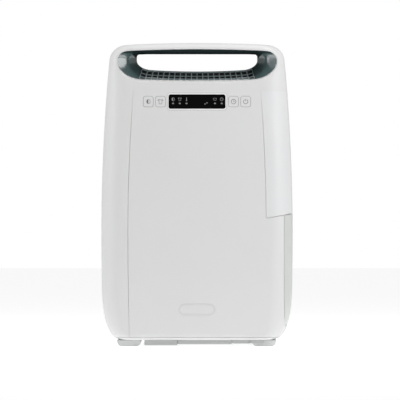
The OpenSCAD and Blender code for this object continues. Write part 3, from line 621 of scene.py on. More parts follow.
def gloss_plastic(name, base, roughness, painted_shade_above):
    """Polished plastic: a clear gloss with a little orange peel; above a height it turns rough, darker and
    glossless, which is painted shade.
    """
    made = Shader(name, IOR=1.35, Coat_IOR=2.5, Coat_Roughness=0.2)
    peel = made.noise(90, 2)
    haze = made.noise(14, 3)
    made.colour(made.mix(haze, shade(base, 0.9), shade(base, 1.12)))
    made.roughness(roughness + 0.05 * haze)
    made.bump(peel, 0.00005)
    across = made.axis(0)
    across = across.maths("ABSOLUTE", across)
    made.set(made.surface.inputs["Coat Weight"], made.step((across - 0.117) * 300))
    # painted shade: above the roof height, set a little lower across the middle, the lining drops to 0.35 of
    # its colour with no gloss, standing in for the shade on the funnel's roof
    roof = painted_shade_above - 0.0065 * made.step((0.111 - across) * 150)
    matt_painted_shade = made.node("ShaderNodeBsdfPrincipled", {}, Base_Color=shade(base, 0.35), Roughness=0.9,
                     Specular_IOR_Level=0.0, IOR=1.01)
    either = made.node("ShaderNodeMixShader", {}, made.step((made.axis(2) - roof) * 500),
                       Value(made, made.surface.outputs[0]), Value(made, matt_painted_shade.outputs[0]))
    made.set(made.tree.nodes["Material Output"].inputs["Surface"], Value(made, either.outputs[0]))
    return made.material


def tinted_plastic(name, base):
    """Translucent tank plastic, frosted on the outside."""
    made = Shader(name, IOR=1.49, Transmission_Weight=0.25)
    flow = made.noise(12, 3)
    made.colour(made.mix(flow, shade(base, 0.96), shade(base, 1.03)))
    made.roughness(0.26 + 0.08 * made.noise(700, 2))
    made.bump(made.noise(1100, 2), 0.00005)
    return made.material


def rubber(name, base):
    made = Shader(name, IOR=1.45)
    grain = made.noise(900, 4, 0.7)
    dust = made.noise(40, 4, 0.6)
    made.colour(made.mix(dust ** 2, base, shade(base, 1.35)))
    made.roughness(0.62 + 0.2 * grain)
    made.bump(grain, 0.00018)
    return made.material


def bare_metal(name, base, roughness, brush=(1, 1, 40), metallic=1.0):
    """Rolled or drawn metal with marks along one direction."""
    made = Shader(name, Metallic=metallic)
    marks = made.noise(160, 3, 0.6, made.stretched(*brush))
    stain = made.noise(22, 4)
    made.colour(made.mix(stain, shade(base, 0.86), shade(base, 1.05)))
    made.roughness(roughness + 0.16 * marks + 0.06 * stain)
    made.bump(marks, 0.00006)
    return made.material


def enamel(name, base):
    """Stoved paint over a steel pressing."""
    made = Shader(name, IOR=1.5)
    made.colour(made.mix(made.noise(30, 4), shade(base, 0.8), shade(base, 1.5)))
    made.roughness(0.3 + 0.12 * made.noise(300, 3))
    made.bump(made.noise(260, 2), 0.0001)
    return made.material


def circuit_board(name, base):
    """Solder resist over copper tracks."""
    made = Shader(name, IOR=1.5)
    tracks = (made.wave("X", 220) > 0.7) * (made.noise(60, 1) > 0.48)
    tracks = tracks + (made.wave("Z", 190) > 0.75) * (made.noise(45, 1) > 0.52)
    made.colour(made.mix(tracks, base, shade(base, 1.7)))
    made.roughness(0.32 + 0.1 * tracks)
    made.bump(tracks, 0.00004)
    return made.material


def woven_mesh(name, base):
    """Open nylon gauze: threads both ways with clear holes between them."""
    made = Shader(name, IOR=1.5)
    across, up = made.wave("X", 260), made.wave("Z", 260)
    threads = across.maths("MAXIMUM", across, up)
    made.colour(made.mix(threads, shade(base, 0.5), shade(base, 1.4)))
    made.roughness(0.5 + 0.2 * threads)
    made.set(made.surface.inputs["Alpha"], (threads > 0.62) * 0.75 + 0.2)
    made.bump(threads, 0.0002)
    return made.material


def dark_glass(name, base):
    """Hard-coated black window."""
    made = Shader(name, IOR=1.5, Specular_IOR_Level=0.06)
    smear = made.noise(35, 3)
    made.colour(made.mix(smear, base, shade(base, 1.6)))
    made.roughness(0.08 + 0.08 * smear)
    return made.material


def printed(name, base, glow=0.0):
    made = Shader(name, IOR=1.45, Emission_Strength=glow)
    grain = made.noise(1600, 2)
    made.colour(made.mix(grain, shade(base, 0.9), shade(base, 1.1)))
    made.set(made.surface.inputs["Emission Color"], (*base, 1))
    made.roughness(0.45 + 0.1 * grain)
    return made.material


FINISHES = {}


def finish(name):
    """The material for one of the record's finishes, made once."""
    c = settings().colours
    recipes = {
        "body_white": lambda: satin_plastic("body_white", c.shell),
        # side_white is the shell's white made a little lighter and bluer: painted light on the right side
        "side_white": lambda: satin_plastic("side_white", c.side, 0.30),
        # the lining's colour is painted shade above 0.494 m
        "teal_lining": lambda: gloss_plastic("teal_lining", c.teal, 0.2, 0.494),
        "grille_teal": lambda: satin_plastic("grille_teal", c.rib, 0.3, 0.00003),
        "display_black": lambda: dark_glass("display_black", c.glass),
        "bezel_silver": lambda: satin_plastic("bezel_silver", c.rim, 0.24, 0.00002),
        "tank_tint": lambda: tinted_plastic("tank_tint", c.tank),
        "lid_grey": lambda: satin_plastic("lid_grey", (0.52, 0.55, 0.55)),
        "inner_grey": lambda: satin_plastic("inner_grey", (0.44, 0.46, 0.47), 0.42),
        "dark_plastic": lambda: satin_plastic("dark_plastic", (0.02, 0.02, 0.022), 0.4),
        "skid_grey": lambda: satin_plastic("skid_grey", c.skid, 0.45, 0.0001),
        "rubber_grey": lambda: rubber("rubber_grey", c.rubber),
        "rubber_black": lambda: rubber("rubber_black", (0.022, 0.022, 0.022)),
        "fin_alu": lambda: bare_metal("fin_alu", (0.80, 0.81, 0.82), 0.22, (1, 1, 12)),
        "copper": lambda: bare_metal("copper", (0.78, 0.36, 0.20), 0.2, (4, 4, 4)),
        "steel": lambda: bare_metal("steel", (0.60, 0.60, 0.61), 0.28),
        "black_steel": lambda: enamel("black_steel", (0.012, 0.012, 0.014)),
        "board_green": lambda: circuit_board("board_green", (0.012, 0.09, 0.035)),
        "filter_mesh": lambda: woven_mesh("filter_mesh", (0.05, 0.053, 0.056)),
        "fan_white": lambda: satin_plastic("fan_white", (0.66, 0.68, 0.68), 0.4),
        "printed_grey": lambda: printed("printed_grey", c.ink),
        "mark_grey": lambda: printed("mark_grey", c.lit),
    }
    if name not in FINISHES:
        FINISHES[name] = recipes[name]()
    return FINISHES[name]


# ---- covers -----------------------------------------------------------------


def smooth(t):
    t = np.clip(t, 0, 1)
    return t * t * (3 - 2 * t)


class Layout:
    """Where the covers meet, read from the frame, in mm."""

    def __init__(self, skin):
        self.skin = skin
        self.low = skin.floor_z + SEAM
        self.tank_x = box_mm("tank_panel")[0][0] - SEAM
        self.sill_z = box_mm("base_tray")[1][2]
        self.slant_low = box_mm("right_side_panel")[0][2]
        self.slant_high = box_mm("tank_panel")[1][2] + SEAM
        self.slant_x = skin.half_w - 43
        self.tuck = 24  # below this height the tank edge follows the corner's sweep
        self.heights = np.linspace(self.low, skin.frame_z, 30)

    def slant(self, x):
        share = np.clip((x - self.slant_x) / (self.skin.half_w - self.slant_x), 0, 1)
        return self.slant_low + (self.slant_high - self.slant_low) * share

    def seam_lip(self, z):
        """Front seams are open grooves that close up towards both ends."""
        ends = min((z - self.low - 8) / 60, (self.skin.frame_z - 4 - z) / 60)
        return TIGHT + (self.skin.seam_lip - TIGHT) * float(smooth(ends))

    def seam(self, low, high, away=0.0):
        """The right front seam, upwards."""
        skin = self.skin
        zs = [low, *[z for z in self.heights if low < z < high], high]
        return [(skin.s_at_x(skin.seam_x(z) + away, z), z, self.seam_lip(z)) for z in zs]

    def tank_line(self, low, high, away=0.0, rear=False, lip=0.7):
        """The vertical edge beside the tank, upwards."""
        at = self.skin.s_at_rear_x if rear else self.skin.s_at_x
        zs = [low, *[z for z in np.linspace(self.tuck, high, 9) if low < z < high], high]
        return [(at(self.tank_x + away, max(z, self.tuck)), z, lip) for z in zs]

    def split(self, away=0.0):
        """The line between the front and rear covers on the right side, upwards."""
        skin = self.skin
        vs = np.linspace(skin.frame_z, skin.v_top, 12)
        return [(skin.s_at_y(skin.split_y + away, v), v, TIGHT) for v in vs]


def closed_seam(points, level):
    """The same points with almost no lip where the side panels meet the front cover overhead."""
    return [(u, v, FINE if abs(v - level) < 0.5 else lip) for u, v, lip in points]


def mirrored(points):
    return [(-u, v, lip) for u, v, lip in reversed(points)]


def skin_lines(skin, low, high):
    """Heights of the mesh lines: close together where the top edge rolls over."""
    lines = np.concatenate([np.arange(skin.v_low, skin.foot_h + 8, 2.0),
                            np.arange(skin.foot_h + 12, 482, 6.0),
                            np.arange(484, skin.v_top, 2.4), np.arange(skin.v_top + 4, skin.v_end, 8.0)])
    return lines[(lines > low) & (lines < high)]


def v_at(skin, z):
    """Position up the skin of a height, following the rolled top edge."""
    over = np.clip((z - (skin.body_h - skin.edge_r)) / skin.edge_r, 0, 1)
    return min(z, skin.body_h - skin.edge_r) + skin.edge_r * math.asin(over)


def mouth_outline(x, low, high, upper_r, lower_rx, lower_rz, bow=0.0):
    """The funnel's outline: small upper corners, sweeping lower ones, the lower edge bowed outwards."""
    right = arc(x - lower_rx, low + lower_rz, lower_rx, lower_rz, -90, 0, 12)
    right += arc(x - upper_r, high - upper_r, upper_r, upper_r, 0, 90, 8)
    right = [(a, b + bow_at(a, b, x, low, high, bow)) for a, b, _ in right]
    top = [(a, high + bow_at(a, high, x, low, high, bow)) for a in np.linspace(right[-1][0], 0, 9)[1:]]
    floor = [(a, low + bow_at(a, low, x, low, high, bow)) for a in np.linspace(0, right[0][0], 9)[1:-1]]
    half = floor + right + top
    return half + [(-a, b) for a, b in reversed(half) if a > 1e-6]


def bow_at(a, b, x, low, high, bow):
    """How far the bow lifts a point: the lower edge rises towards its ends."""
    level = np.clip((b - low) / (high - low), 0, 1)
    return bow * (np.asarray(a) / x) ** 2 * (1 - level)


class Mouth:
    """The mouth of the outlet funnel, and how its rim is rounded."""

    def __init__(self):
        low, high = box_mm("outlet_funnel")
        self.x, self.low, self.high = high[0] + 0.2, low[2] - 0.8, high[2] + 0.2
        outlet = settings().outlet
        self.rim_low, self.rim_high, self.bow = outlet.rim_low / MM, outlet.rim_high / MM, outlet.bow / MM

    def outline(self):
        return mouth_outline(self.x, self.low, self.high, 18, 46, 30, self.bow)

    def rim(self, z):
        share = np.clip((self.high - z) / (self.high - self.low), 0, 1)
        return self.rim_high + (self.rim_low - self.rim_high) * share**3

    def sink(self, z):
        """How far the front falls back at the mouth's edge, below its middle."""
        return 3.4 * smooth((self.low + 34 - z) / 30)


def on_front(skin, loop):
    return [(skin.s_at_x(x, z), v_at(skin, z), lip) for x, z, lip in loop]


def display_box():
    low, high = box_mm("display_window")
    return high[0] - low[0] + 0.4, high[2] - low[2] + 0.4, (low[2] + high[2]) / 2


BUTTONS = ("drying_button", "laundry_button", "timer_button", "power_button")


def button_box(name):
    """Middle and size of a button's cap."""
    low, high = box_mm(name)
    flange = 0.8
    w, h = high[0] - low[0] - 2 * flange, high[2] - low[2] - 2 * flange
    return (low[0] + high[0]) / 2, (low[2] + high[2]) / 2, w, h


def front_cover(skin, plan):
    right = plan.tank_line(plan.low, plan.slant(plan.tank_x) - SEAM)
    for x in np.linspace(plan.tank_x, plan.slant_x, 6)[1:]:
        z = plan.slant(x) - SEAM
        right.append((skin.s_at_x(x, z), z, 0.8))
    right += plan.seam(plan.slant_low, skin.frame_z)
    right += plan.split() + [(skin.split_s, skin.v_end, TIGHT)]
    left = plan.seam(plan.low, skin.frame_z) + plan.split() + [(skin.split_s, skin.v_end, TIGHT)]
    right, left = closed_seam(right, skin.frame_z), closed_seam(left, skin.frame_z)
    mouth = Mouth()
    holes = [on_front(skin, [(x, z, mouth.rim(z)) for x, z in mouth.outline()])]
    w, h, z = display_box()
    holes.append(on_front(skin, rounded(0, z, w + 4.6, h + 4.6, 5.5, 0.5)))
    for name in BUTTONS:
        x, z, w, h = button_box(name)
        holes.append(on_front(skin, rounded(x, z, w - 0.3, h - 0.3, 3.8, 0.6)))
    edge = np.array(spaced(holes[0], 4))[:, :2]

    def fillet(u, v):
        near = (np.abs(u) < mouth.x + 30) & (v > mouth.low - 40) & (v < mouth.high)
        away = np.full(len(u), 1e3)
        spots = np.stack([u, v], -1)[near]
        away[near] = [np.sqrt(np.min(np.sum((edge - spot) ** 2, -1))) for spot in spots]
        return -mouth.sink(v) * np.exp(-away / 8)

    return moulding(skin, right + mirrored(left), holes, rows=6, bulge=fillet,
                    us=np.arange(-skin.split_s, skin.split_s, 5.5), vs=skin_lines(skin, 0, skin.v_end))


def left_side_panel(skin, plan):
    top = skin.frame_z - FINE
    seam = plan.seam(plan.low, top, LINE)
    back = [(skin.s_at_y(skin.side_back, z), z, TIGHT) for z in np.linspace(plan.low, top, 12)]
    return moulding(skin, closed_seam(mirrored(back + seam[::-1]), top), rows=4,
                    us=np.arange(-330, -110, 5.5),
                    vs=skin_lines(skin, 0, top))


def right_side_panel(skin, plan):
    top = skin.frame_z - FINE
    loop = []
    for x in np.linspace(plan.slant_x, skin.half_w - 0.5, 8):
        loop.append((skin.s_at_x(x, plan.slant(x)), plan.slant(x), 0.9))
    low = [(u, v) for u, v, _ in loop]
    loop.append((skin.s_at_y(skin.side_back, plan.slant_high), plan.slant_high, 0.9))
    loop += [(skin.s_at_y(skin.side_back, z), z, TIGHT) for z in np.linspace(plan.slant_high, top, 9)[1:]]
    loop += plan.seam(plan.slant_low, top, LINE)[::-1]

    def rim(u, v):
        above = v - np.interp(u, [p[0] for p in low], [p[1] for p in low])
        ends = smooth((u - low[0][0] + 4) / 12) * (1 - 0.9 * smooth((u - skin.bend + 26) / 16))
        return 0.9 * np.exp(-((above / 2.6) ** 2)) * ends

    vs = np.concatenate([np.arange(218, 234, 1.6), skin_lines(skin, 236, top)])
    return moulding(skin, closed_seam(loop, top), rows=4, us=np.arange(112, 330, 5.0), vs=vs, bulge=rim)


def rear_cover(skin, plan):
    around = 2 * skin.girth
    right = plan.tank_line(plan.low, plan.slant_high, rear=True)
    side = skin.s_at_y(skin.side_back + SEAM, plan.slant_high)
    right.append((side, plan.slant_high, TIGHT))
    zs = np.linspace(plan.slant_high, skin.frame_z, 9)[1:]
    right += [(skin.s_at_y(skin.side_back + SEAM, z), z, TIGHT) for z in zs]
    right += plan.split(SEAM)
    right.append((skin.split_s, skin.v_end, TIGHT))
    zs = np.linspace(plan.low, skin.frame_z, 14)
    left = [(skin.s_at_y(skin.side_back + SEAM, z), z, TIGHT) for z in zs] + plan.split(SEAM)
    left.append((skin.split_s, skin.v_end, TIGHT))
    left = [(around - u, v, lip) for u, v, lip in left]

    def on_rear(points):
        return [(skin.s_at_rear_x(x, z), z, lip) for x, z, lip in points]

    low, high = box_mm("rear_grille")
    gap = 0.3
    holes = [on_rear(rounded(0, (low[2] + high[2]) / 2, high[0] - low[0] + 2 * gap,
                             high[2] - low[2] + 2 * gap, 5, 1))]
    holes.append(on_rear([(x, z, 3.5) for x, z in mouth_outline(*rear_mouth(), 8, 34, 22, Mouth().bow)]))
    low, high = box_mm("filter_frame")
    holes.append(on_rear(rounded(0, high[2] - 1.5, high[0] - low[0] + 2 * gap, 14, 2, 0.8)))
    for x, z in screw_places():
        holes.append(on_rear(ring(x, z, 4, 0.6)))
    low, high = box_mm("cord_gland")
    holes.append(on_rear(ring((low[0] + high[0]) / 2, (low[2] + high[2]) / 2, 8.1, 0.6)))
    low, high = box_mm("drain_plug")
    holes.append(on_rear(ring((low[0] + high[0]) / 2, (low[2] + high[2]) / 2, 17, 2)))
    return moulding(skin, right + left[::-1], holes, rows=4,
                    us=np.arange(skin.bend, around - skin.bend, 6.0), vs=skin_lines(skin, 0, skin.v_end))


def rear_mouth():
    """Half width, bottom and top of the opening at the back of the handle."""
    outlet, mouth = settings().outlet, Mouth()
    low = mouth.low + outlet.throat_low / MM
    return outlet.throat_x / MM + 16, low - 8, low + outlet.throat_h / MM + 6


def screw_places():
    low, high = box_mm("rear_screws")
    x, z0, z1 = high[0] - 3.5, low[2] + 3.5, high[2] - 3.5
    return [(-x, z0), (x, z0), (-x, z1), (x, z1)]


def base_tray(skin, plan):
    """The base: a band round the bottom that rises to a sill below the tank, and the floor inside it."""
    g = skin.girth - 0.02
    sill = plan.tank_line(skin.floor_z, plan.sill_z, SEAM)
    back = plan.tank_line(skin.floor_z, plan.sill_z, SEAM, rear=True)
    band = [(-g, skin.v_low, TIGHT), (g, skin.v_low, TIGHT), (g, skin.floor_z, TIGHT)]
    band += back + sill[::-1] + [(-g, skin.floor_z, TIGHT)]
    s = np.linspace(-skin.girth, skin.girth, 220, endpoint=False)
    rim = skin(s, np.full_like(s, skin.v_low + 0.2))
    plate = moulding(bottom_plane(skin.foot_h + 0.1), [(x, -y, TIGHT) for x, y, _ in rim], thick=3.8,
                     pitch=14)
    return joined(moulding(skin, band, pitch=5), plate)


def base_skids(skin):
    """Blocks under the base, each with its two ends, its lower edge and its setback."""
    low, high = box_mm("base_skid")
    parts = []
    for x0, x1, z, lead in ((-89, -33, 2.2, 0), (-32.7, 58.7, 4, 2), (59, 89.7, 5, 2), (90, 113, 5, 0)):
        w, h = x1 - x0, skin.foot_h - z
        outline = rounded((x0 + x1) / 2, z + h / 2, w, h, 1.2, 0.8, 3)
        parts.append(moulding(front_plane(low[1] + lead), outline, thick=high[1] - low[1] - lead - 1,
                              pitch=20, back=0.8))
    return joined(*parts)


def rubber_feet(skin):
    low, high = box_mm("rubber_feet")
    middle, depth = 114, 34
    parts = []
    for side in (-1, 1):
        for y in (low[1], high[1] - depth):
            profile = [(-17, 1.4), (-15.4, 0), (13, 0), (18, 3), (20, skin.foot_h - 0.1),
                       (-21, skin.foot_h - 0.1), (-20, 4)]
            outline = [(side * middle + px, pz, 1.0) for px, pz in profile]
            parts.append(moulding(front_plane(y), outline, thick=depth, pitch=8, back=1.0))
    return joined(*parts)


# ---- funnel and grille ------------------------------------------------------


class Funnel:
    """The funnel's lining: p runs round it from the middle of its floor, v runs in from the mouth, in mm."""

    throat_v = 60.0
    floor = 98.0
    span = 250.0
    dish = ((0, 0.02, 0.19, 0.26, 1), (0, 0.04, 0.5, 0.6, 1))  # depth and share of the way in at the ends

    def __init__(self, skin):
        outlet, mouth = settings().outlet, Mouth()
        self.bow = mouth.bow
        low = mouth.low + outlet.throat_low / MM
        high = low + outlet.throat_h / MM
        throat_y = outlet.throat_y / MM
        mouth_dims = np.array([mouth.x - 0.2, mouth.low + 0.2, mouth.high - 0.2, 18, 46, 30])
        throat_dims = np.array([outlet.throat_x / MM, low, high, 5, 24, 16])
        rear_dims = np.array([*rear_mouth(), 8, 34, 22]) + np.array([-0.3, 0.3, -0.3, 0, 0, 0])
        self.ts = np.linspace(0, 2, 65)
        self.ps = np.linspace(0, self.span, 241)
        table = np.zeros((len(self.ts), len(self.ps), 3))
        for row, t in enumerate(self.ts):
            inward = np.clip(t, 0, 1) ** np.array([1.7, 1.5, 1.15, 1.5, 1.5, 1.5])
            inward[[0, 4]] = np.interp(t, self.dish[0], self.dish[1])
            flare = np.clip(t - 1, 0, 1)
            dims = mouth_dims + (throat_dims - mouth_dims) * inward
            dims = dims + (rear_dims - throat_dims) * flare
            table[row, :, 0], table[row, :, 2] = self.ring(dims, 1 - 0.05 * min(t, 1))
        first = table[0]
        edge = np.array([skin(np.array([skin.s_at_x(x, v_at(skin, z))]), np.array([v_at(skin, z)]))[0, 1]
                         for x, _, z in first])
        start = edge + mouth.rim(first[:, 2]) + mouth.sink(first[:, 2]) + 0.3
        last = skin.rear_y(table[-1, :, 2]) - 4
        for row, t in enumerate(self.ts):
            near, far = min(t, 1), max(t - 1, 0)
            table[row, :, 1] = start + (throat_y - start) * near + (last - throat_y) * far
        self.table = table

    def ring(self, dims, lean):
        """One ring of the lining from the middle of its floor to the middle of its roof."""
        x, low, high, upper_r, rx, rz = dims
        half = arc(x - rx, low + rz, rx, rz, -90, 0, 24) + arc(x - upper_r, high - upper_r, upper_r, upper_r,
                                                               0, 90, 16)
        floor = [(a, low) for a in np.linspace(0, x - rx, 12)[:-1]]
        roof = [(a, high) for a in np.linspace(x - upper_r, 0, 12)[1:]]
        half = np.array(floor + [(a, b) for a, b, _ in half] + roof)
        half[:, 1] += bow_at(half[:, 0], half[:, 1], x, low, high, self.bow)
        run = np.concatenate([[0], np.cumsum(np.hypot(*np.diff(half, axis=0).T))])
        lower = 36
        floor_run = np.interp(self.ps * lean, half[:lower, 0], run[:lower])
        edge_run = np.interp(self.floor * lean, half[:lower, 0], run[:lower])
        share = np.clip((self.ps - self.floor) / (self.span - self.floor), 0, 1)
        at = np.where(self.ps <= self.floor, floor_run, edge_run + (run[-1] - edge_run) * share)
        return np.interp(at, run, half[:, 0]), np.interp(at, run, half[:, 1])

    def __call__(self, p, v):
        row = np.clip(np.asarray(v) / self.throat_v / 2, 0, 1) * (len(self.ts) - 1)
        column = np.clip(np.abs(p) / self.span, 0, 1) * (len(self.ps) - 1)
        i = np.minimum(row.astype(int), len(self.ts) - 2)
        j = np.minimum(column.astype(int), len(self.ps) - 2)
        a, b = (row - i)[:, None], (column - j)[:, None]
        table = self.table
        point = (table[i, j] * (1 - b) + table[i, j + 1] * b) * (1 - a)
        point = point + (table[i + 1, j] * (1 - b) + table[i + 1, j + 1] * b) * a
        point[:, 0] = np.where(np.asarray(p) < 0, -point[:, 0], point[:, 0])
        return point


GRILLE_V = (2.0, 58.0)


def funnel_lining(funnel):
    low, high = GRILLE_V
    f, s = funnel.floor, funnel.span
    opening = rounded(0, (low + high) / 2, 2 * f, high - low, 1.5, TIGHT)
    outer = [(-s, 0, TIGHT), (s, 0, TIGHT), (s, 2 * funnel.throat_v, TIGHT), (-s, 2 * funnel.throat_v, TIGHT)]
    return moulding(funnel, outer, [opening], thick=2.0, pitch=4.5)


def outlet_grille(funnel):
    outlet = settings().outlet
    low, high = GRILLE_V
    f, rib = funnel.floor - 0.3, outlet.rib / MM
    low, high = low + 0.3, high - 0.3
    frame_loop = rounded(0, (low + high) / 2, 2 * f, high - low, 1.3, 0.4)
    window = rounded(0, (low + high) / 2, 2 * f - rib, high - low - rib, 0.8, 0.4)

    def flush(u, v):
        return np.full_like(u, 0.2)

    parts = [moulding(funnel, frame_loop, [window], thick=2.4, pitch=4.5, us=[], vs=[], bulge=flush)]
    pitch = 2 * f / outlet.cells
    for i in range(1, outlet.cells):
        parts.append(moulding(funnel, rounded(-f + pitch * i, (low + high) / 2, rib, high - low - rib, 0.4,
                                              0.35, 2),
                              thick=2.8, pitch=4.5, us=[], vs=[], bulge=flush))
    for j in range(1, outlet.rows):
        v = low + (high - low) * j / outlet.rows
        parts.append(moulding(funnel, rounded(0, v, 2 * f - rib, 0.8, 0.3, 0.25, 2), thick=1.6, pitch=4.5,
                              us=[], vs=[],
                              bulge=lambda u, v: np.full_like(u, -0.5)))
    return joined(*parts)


# ---- controls ---------------------------------------------------------------


def symbol(y, outline, holes=(), proud=0.1):
    """A thin printed or moulded mark that stands just proud of a front plane."""
    return moulding(front_plane(y - proud), outline, holes, thick=proud + 0.05, pitch=2, rows=1, back=0.02,
                    us=[], vs=[])


HAIR = 0.03


def half_disc(y, cx, cz, r):
    filled = arc(cx, cz, r * 0.82, r, 90, 270, 12, HAIR)
    rim = arc(cx + 0.25, cz, r * 0.82, r, -90, 90, 12, HAIR) + arc(cx + 0.25, cz, r * 0.62, r * 0.8, 90, -90,
                                                                   12, HAIR)
    return joined(symbol(y, filled), symbol(y, rim))


def outlined(y, points, cx, cz, r, line):
    """The outline of a closed shape, drawn as a band of even width."""
    loop = turned_to(np.array([(cx + r * a, cz + r * b, HAIR) for a, b in points]), True)
    band = loop.copy()
    step = unit(np.roll(loop[:, :2], -1, 0) - loop[:, :2])
    left = np.stack([-step[:, 1], step[:, 0]], -1)
    mean = unit(left + np.roll(left, 1, 0))
    band[:, :2] += mean / np.clip(np.sum(mean * left, -1, keepdims=True), 0.5, 1) * line
    return symbol(y, loop, [band])


def shirt(y, cx, cz, r):
    half = [(0.25, 0.7), (0.6, 0.9), (1.05, 0.45), (0.78, 0.15), (0.58, 0.32), (0.58, -0.9)]
    return outlined(y, half[::-1] + [(-a, b) for a, b in half], cx, cz, r, r * 0.14)


def clock(y, cx, cz, r):
    hand = r * 0.14
    face = symbol(y, ring(cx, cz, r, HAIR), [ring(cx, cz, r * 0.8, HAIR)])
    up = symbol(y, polygon([(cx - hand / 2, cz), (cx + hand / 2, cz), (cx + hand / 2, cz + r * 0.55),
                            (cx - hand / 2, cz + r * 0.55)], HAIR))
    across = symbol(y, polygon([(cx, cz - hand / 2), (cx + r * 0.5, cz - hand / 2),
                                (cx + r * 0.5, cz + hand / 2),
                                (cx, cz + hand / 2)], HAIR))
    return joined(face, up, across)


def power_sign(y, cx, cz, r):
    open_ring = arc(cx, cz, r, r, 120, 420, 24, HAIR) + arc(cx, cz, r * 0.8, r * 0.8, 420, 120, 24, HAIR)
    w = r * 0.1
    stroke = polygon([(cx - w, cz + r * 0.2), (cx + w, cz + r * 0.2), (cx + w, cz + r * 1.05),
                      (cx - w, cz + r * 1.05)], HAIR)
    return joined(symbol(y, open_ring), symbol(y, stroke))


def bulb_stick(y, cx, cz, r):
    stick = rounded(cx, cz + r * 0.25, r * 0.36, r * 1.5, r * 0.17, HAIR, 3)
    return joined(symbol(y, stick), symbol(y, ring(cx, cz - r * 0.72, r * 0.32, HAIR, 12)))


def bucket(y, cx, cz, r):
    return outlined(y, [(-0.7, -0.65), (0.7, -0.65), (1, 0.65), (-1, 0.65)], cx, cz, r, r * 0.16)


def per_cent(y, cx, cz, r):
    slash = [(-0.5, -0.7), (-0.3, -0.7), (0.5, 0.7), (0.3, 0.7)]
    slash = symbol(y, [(cx + r * a, cz + r * b, HAIR) for a, b in slash])
    rings = [symbol(y, ring(cx + sx * r * 0.75, cz + sx * r * 0.35, r * 0.32, HAIR, 12)) for sx in (-1, 1)]
    return joined(slash, *rings)


def display_marks(y, cz):
    """Unlit symbols: three modes on the left, two warnings on the right, and the humidity unit."""
    upper, lower = cz + 3.9, cz - 3.1
    parts = [half_disc(y, -40.3, upper, 3.0), shirt(y, -29, upper, 3.1), bulb_stick(y, -17.6, upper, 3.0),
             bucket(y, 30.2, upper, 3.0), clock(y, 41.6, upper, 2.9), per_cent(y, 15.2, lower, 2.6)]
    for x in (-40.3, -29, -17.6, 30.2, 41.6):
        parts.append(symbol(y, rounded(x, lower, 3.0, 2.2, 0.7, HAIR, 3)))
    return joined(*parts)


BUTTON_MARKS = {"drying_button": (half_disc, 3.9), "laundry_button": (shirt, 4.6),
                "timer_button": (clock, 4.3),
                "power_button": (power_sign, 4.1)}


# ---- tank -------------------------------------------------------------------


def tank_panel(skin, plan):
    low, high = plan.sill_z + SEAM, plan.slant_high - SEAM
    top = plan.slant(plan.tank_x + SEAM) - SEAM
    front = plan.tank_line(low, top, SEAM)
    rear = plan.tank_line(low, high, SEAM, rear=True)
    grip, depth, r = 34, 19, 7
    floor = high - depth
    right, left = skin.s_at_y(grip, high), skin.s_at_y(-grip, high)
    notch = [(right, high, 1.2)] + arc(right - r, floor + r, r, r, 0, -90, 5, 1.2)
    notch += arc(left + r, floor + r, r, r, 270, 180, 5, 1.2) + [(left, high, 1.2)]
    loop = rear + notch + [(skin.bend, high, 0.7)] + front[::-1]
    return moulding(skin, loop, rows=4, us=np.arange(140, skin.turn, 5.5), vs=skin_lines(skin, low, high))


def tub(low, high, wall, radius):
    """An open box with rounded corners and a rolled rim."""
    def level(inset, z, r):
        x, y = (high[:2] - low[:2]) / 2 - inset
        cx, cy = (high[:2] + low[:2]) / 2
        return [(a, b, z) for a, b, _ in rounded(cx, cy, 2 * x, 2 * y, r, steps=8)]

    rings = [level(radius * (1 - math.sin(a)), low[2] + radius * (1 - math.cos(a)),
                   radius * (0.4 + 0.6 * math.sin(a)))
             for a in np.linspace(0, QUARTER, 6)]
    rings += [level(0, high[2] - 0.6, radius), level(0.5, high[2], radius),
              level(wall - 0.5, high[2], radius),
              level(wall, high[2] - 0.6, radius - wall / 2)]
    rings += [level(wall + radius * (1 - math.sin(a)), low[2] + wall + radius * (1 - math.cos(a)),
                    radius * (0.4 + 0.6 * math.sin(a))) for a in np.linspace(QUARTER, 0, 6)]
    return loft(rings)


def tank_lid():
    low, high = box_mm("tank_lid")
    pin = box_mm("float_pin")
    middle = (low + high) / 2
    drip_x, drip_y = (pin[0][0] + pin[1][0]) / 2, 66
    holes = [ring(drip_x, drip_y, 13, 1.0), ring(high[0] - 26, low[1] + 28, 18, 1.2)]
    outline = rounded(middle[0], middle[1], high[0] - low[0], high[1] - low[1], 7, 1.2)
    parts = [moulding(top_plane(high[2]), outline, holes, thick=3, pitch=10, rows=4)]
    pin_y, pin_z = (pin[0][1] + pin[1][1]) / 2, (pin[0][2] + pin[1][2]) / 2
    for x in (drip_x - 14, drip_x + 17):
        lug = arc(pin_y, pin_z, 5, 5, 180, 360, 10, 0.5) + [(pin_y + 5, high[2] - 2.5, 0.5),
                                                            (pin_y - 5, high[2] - 2.5, 0.5)]
        parts.append(moulding(side_plane(x), lug, [ring(pin_y, pin_z, 2.05, 0.2, 16)], thick=3, pitch=4,
                              back=0.5))
    return joined(*parts)


# ---- rear fittings ----------------------------------------------------------


def rear_grille():
    low, high = box_mm("rear_grille")
    w, h, z = high[0] - low[0], high[2] - low[2], (low[2] + high[2]) / 2
    slats, border = 16, 3
    pitch = (h - 2 * border) / slats
    holes = [rounded(side * (w / 4 - 0.4), low[2] + border + pitch * (i + 0.5), w / 2 - border - 1.6,
                     pitch - 2.2, 1.6, 0.5, 3)
             for side in (-1, 1) for i in range(slats)]
    return moulding(rear_plane(high[1]), rounded(0, z, w, h, 4.6, 0.9), holes, thick=high[1] - low[1],
                    pitch=9, us=[], vs=[])


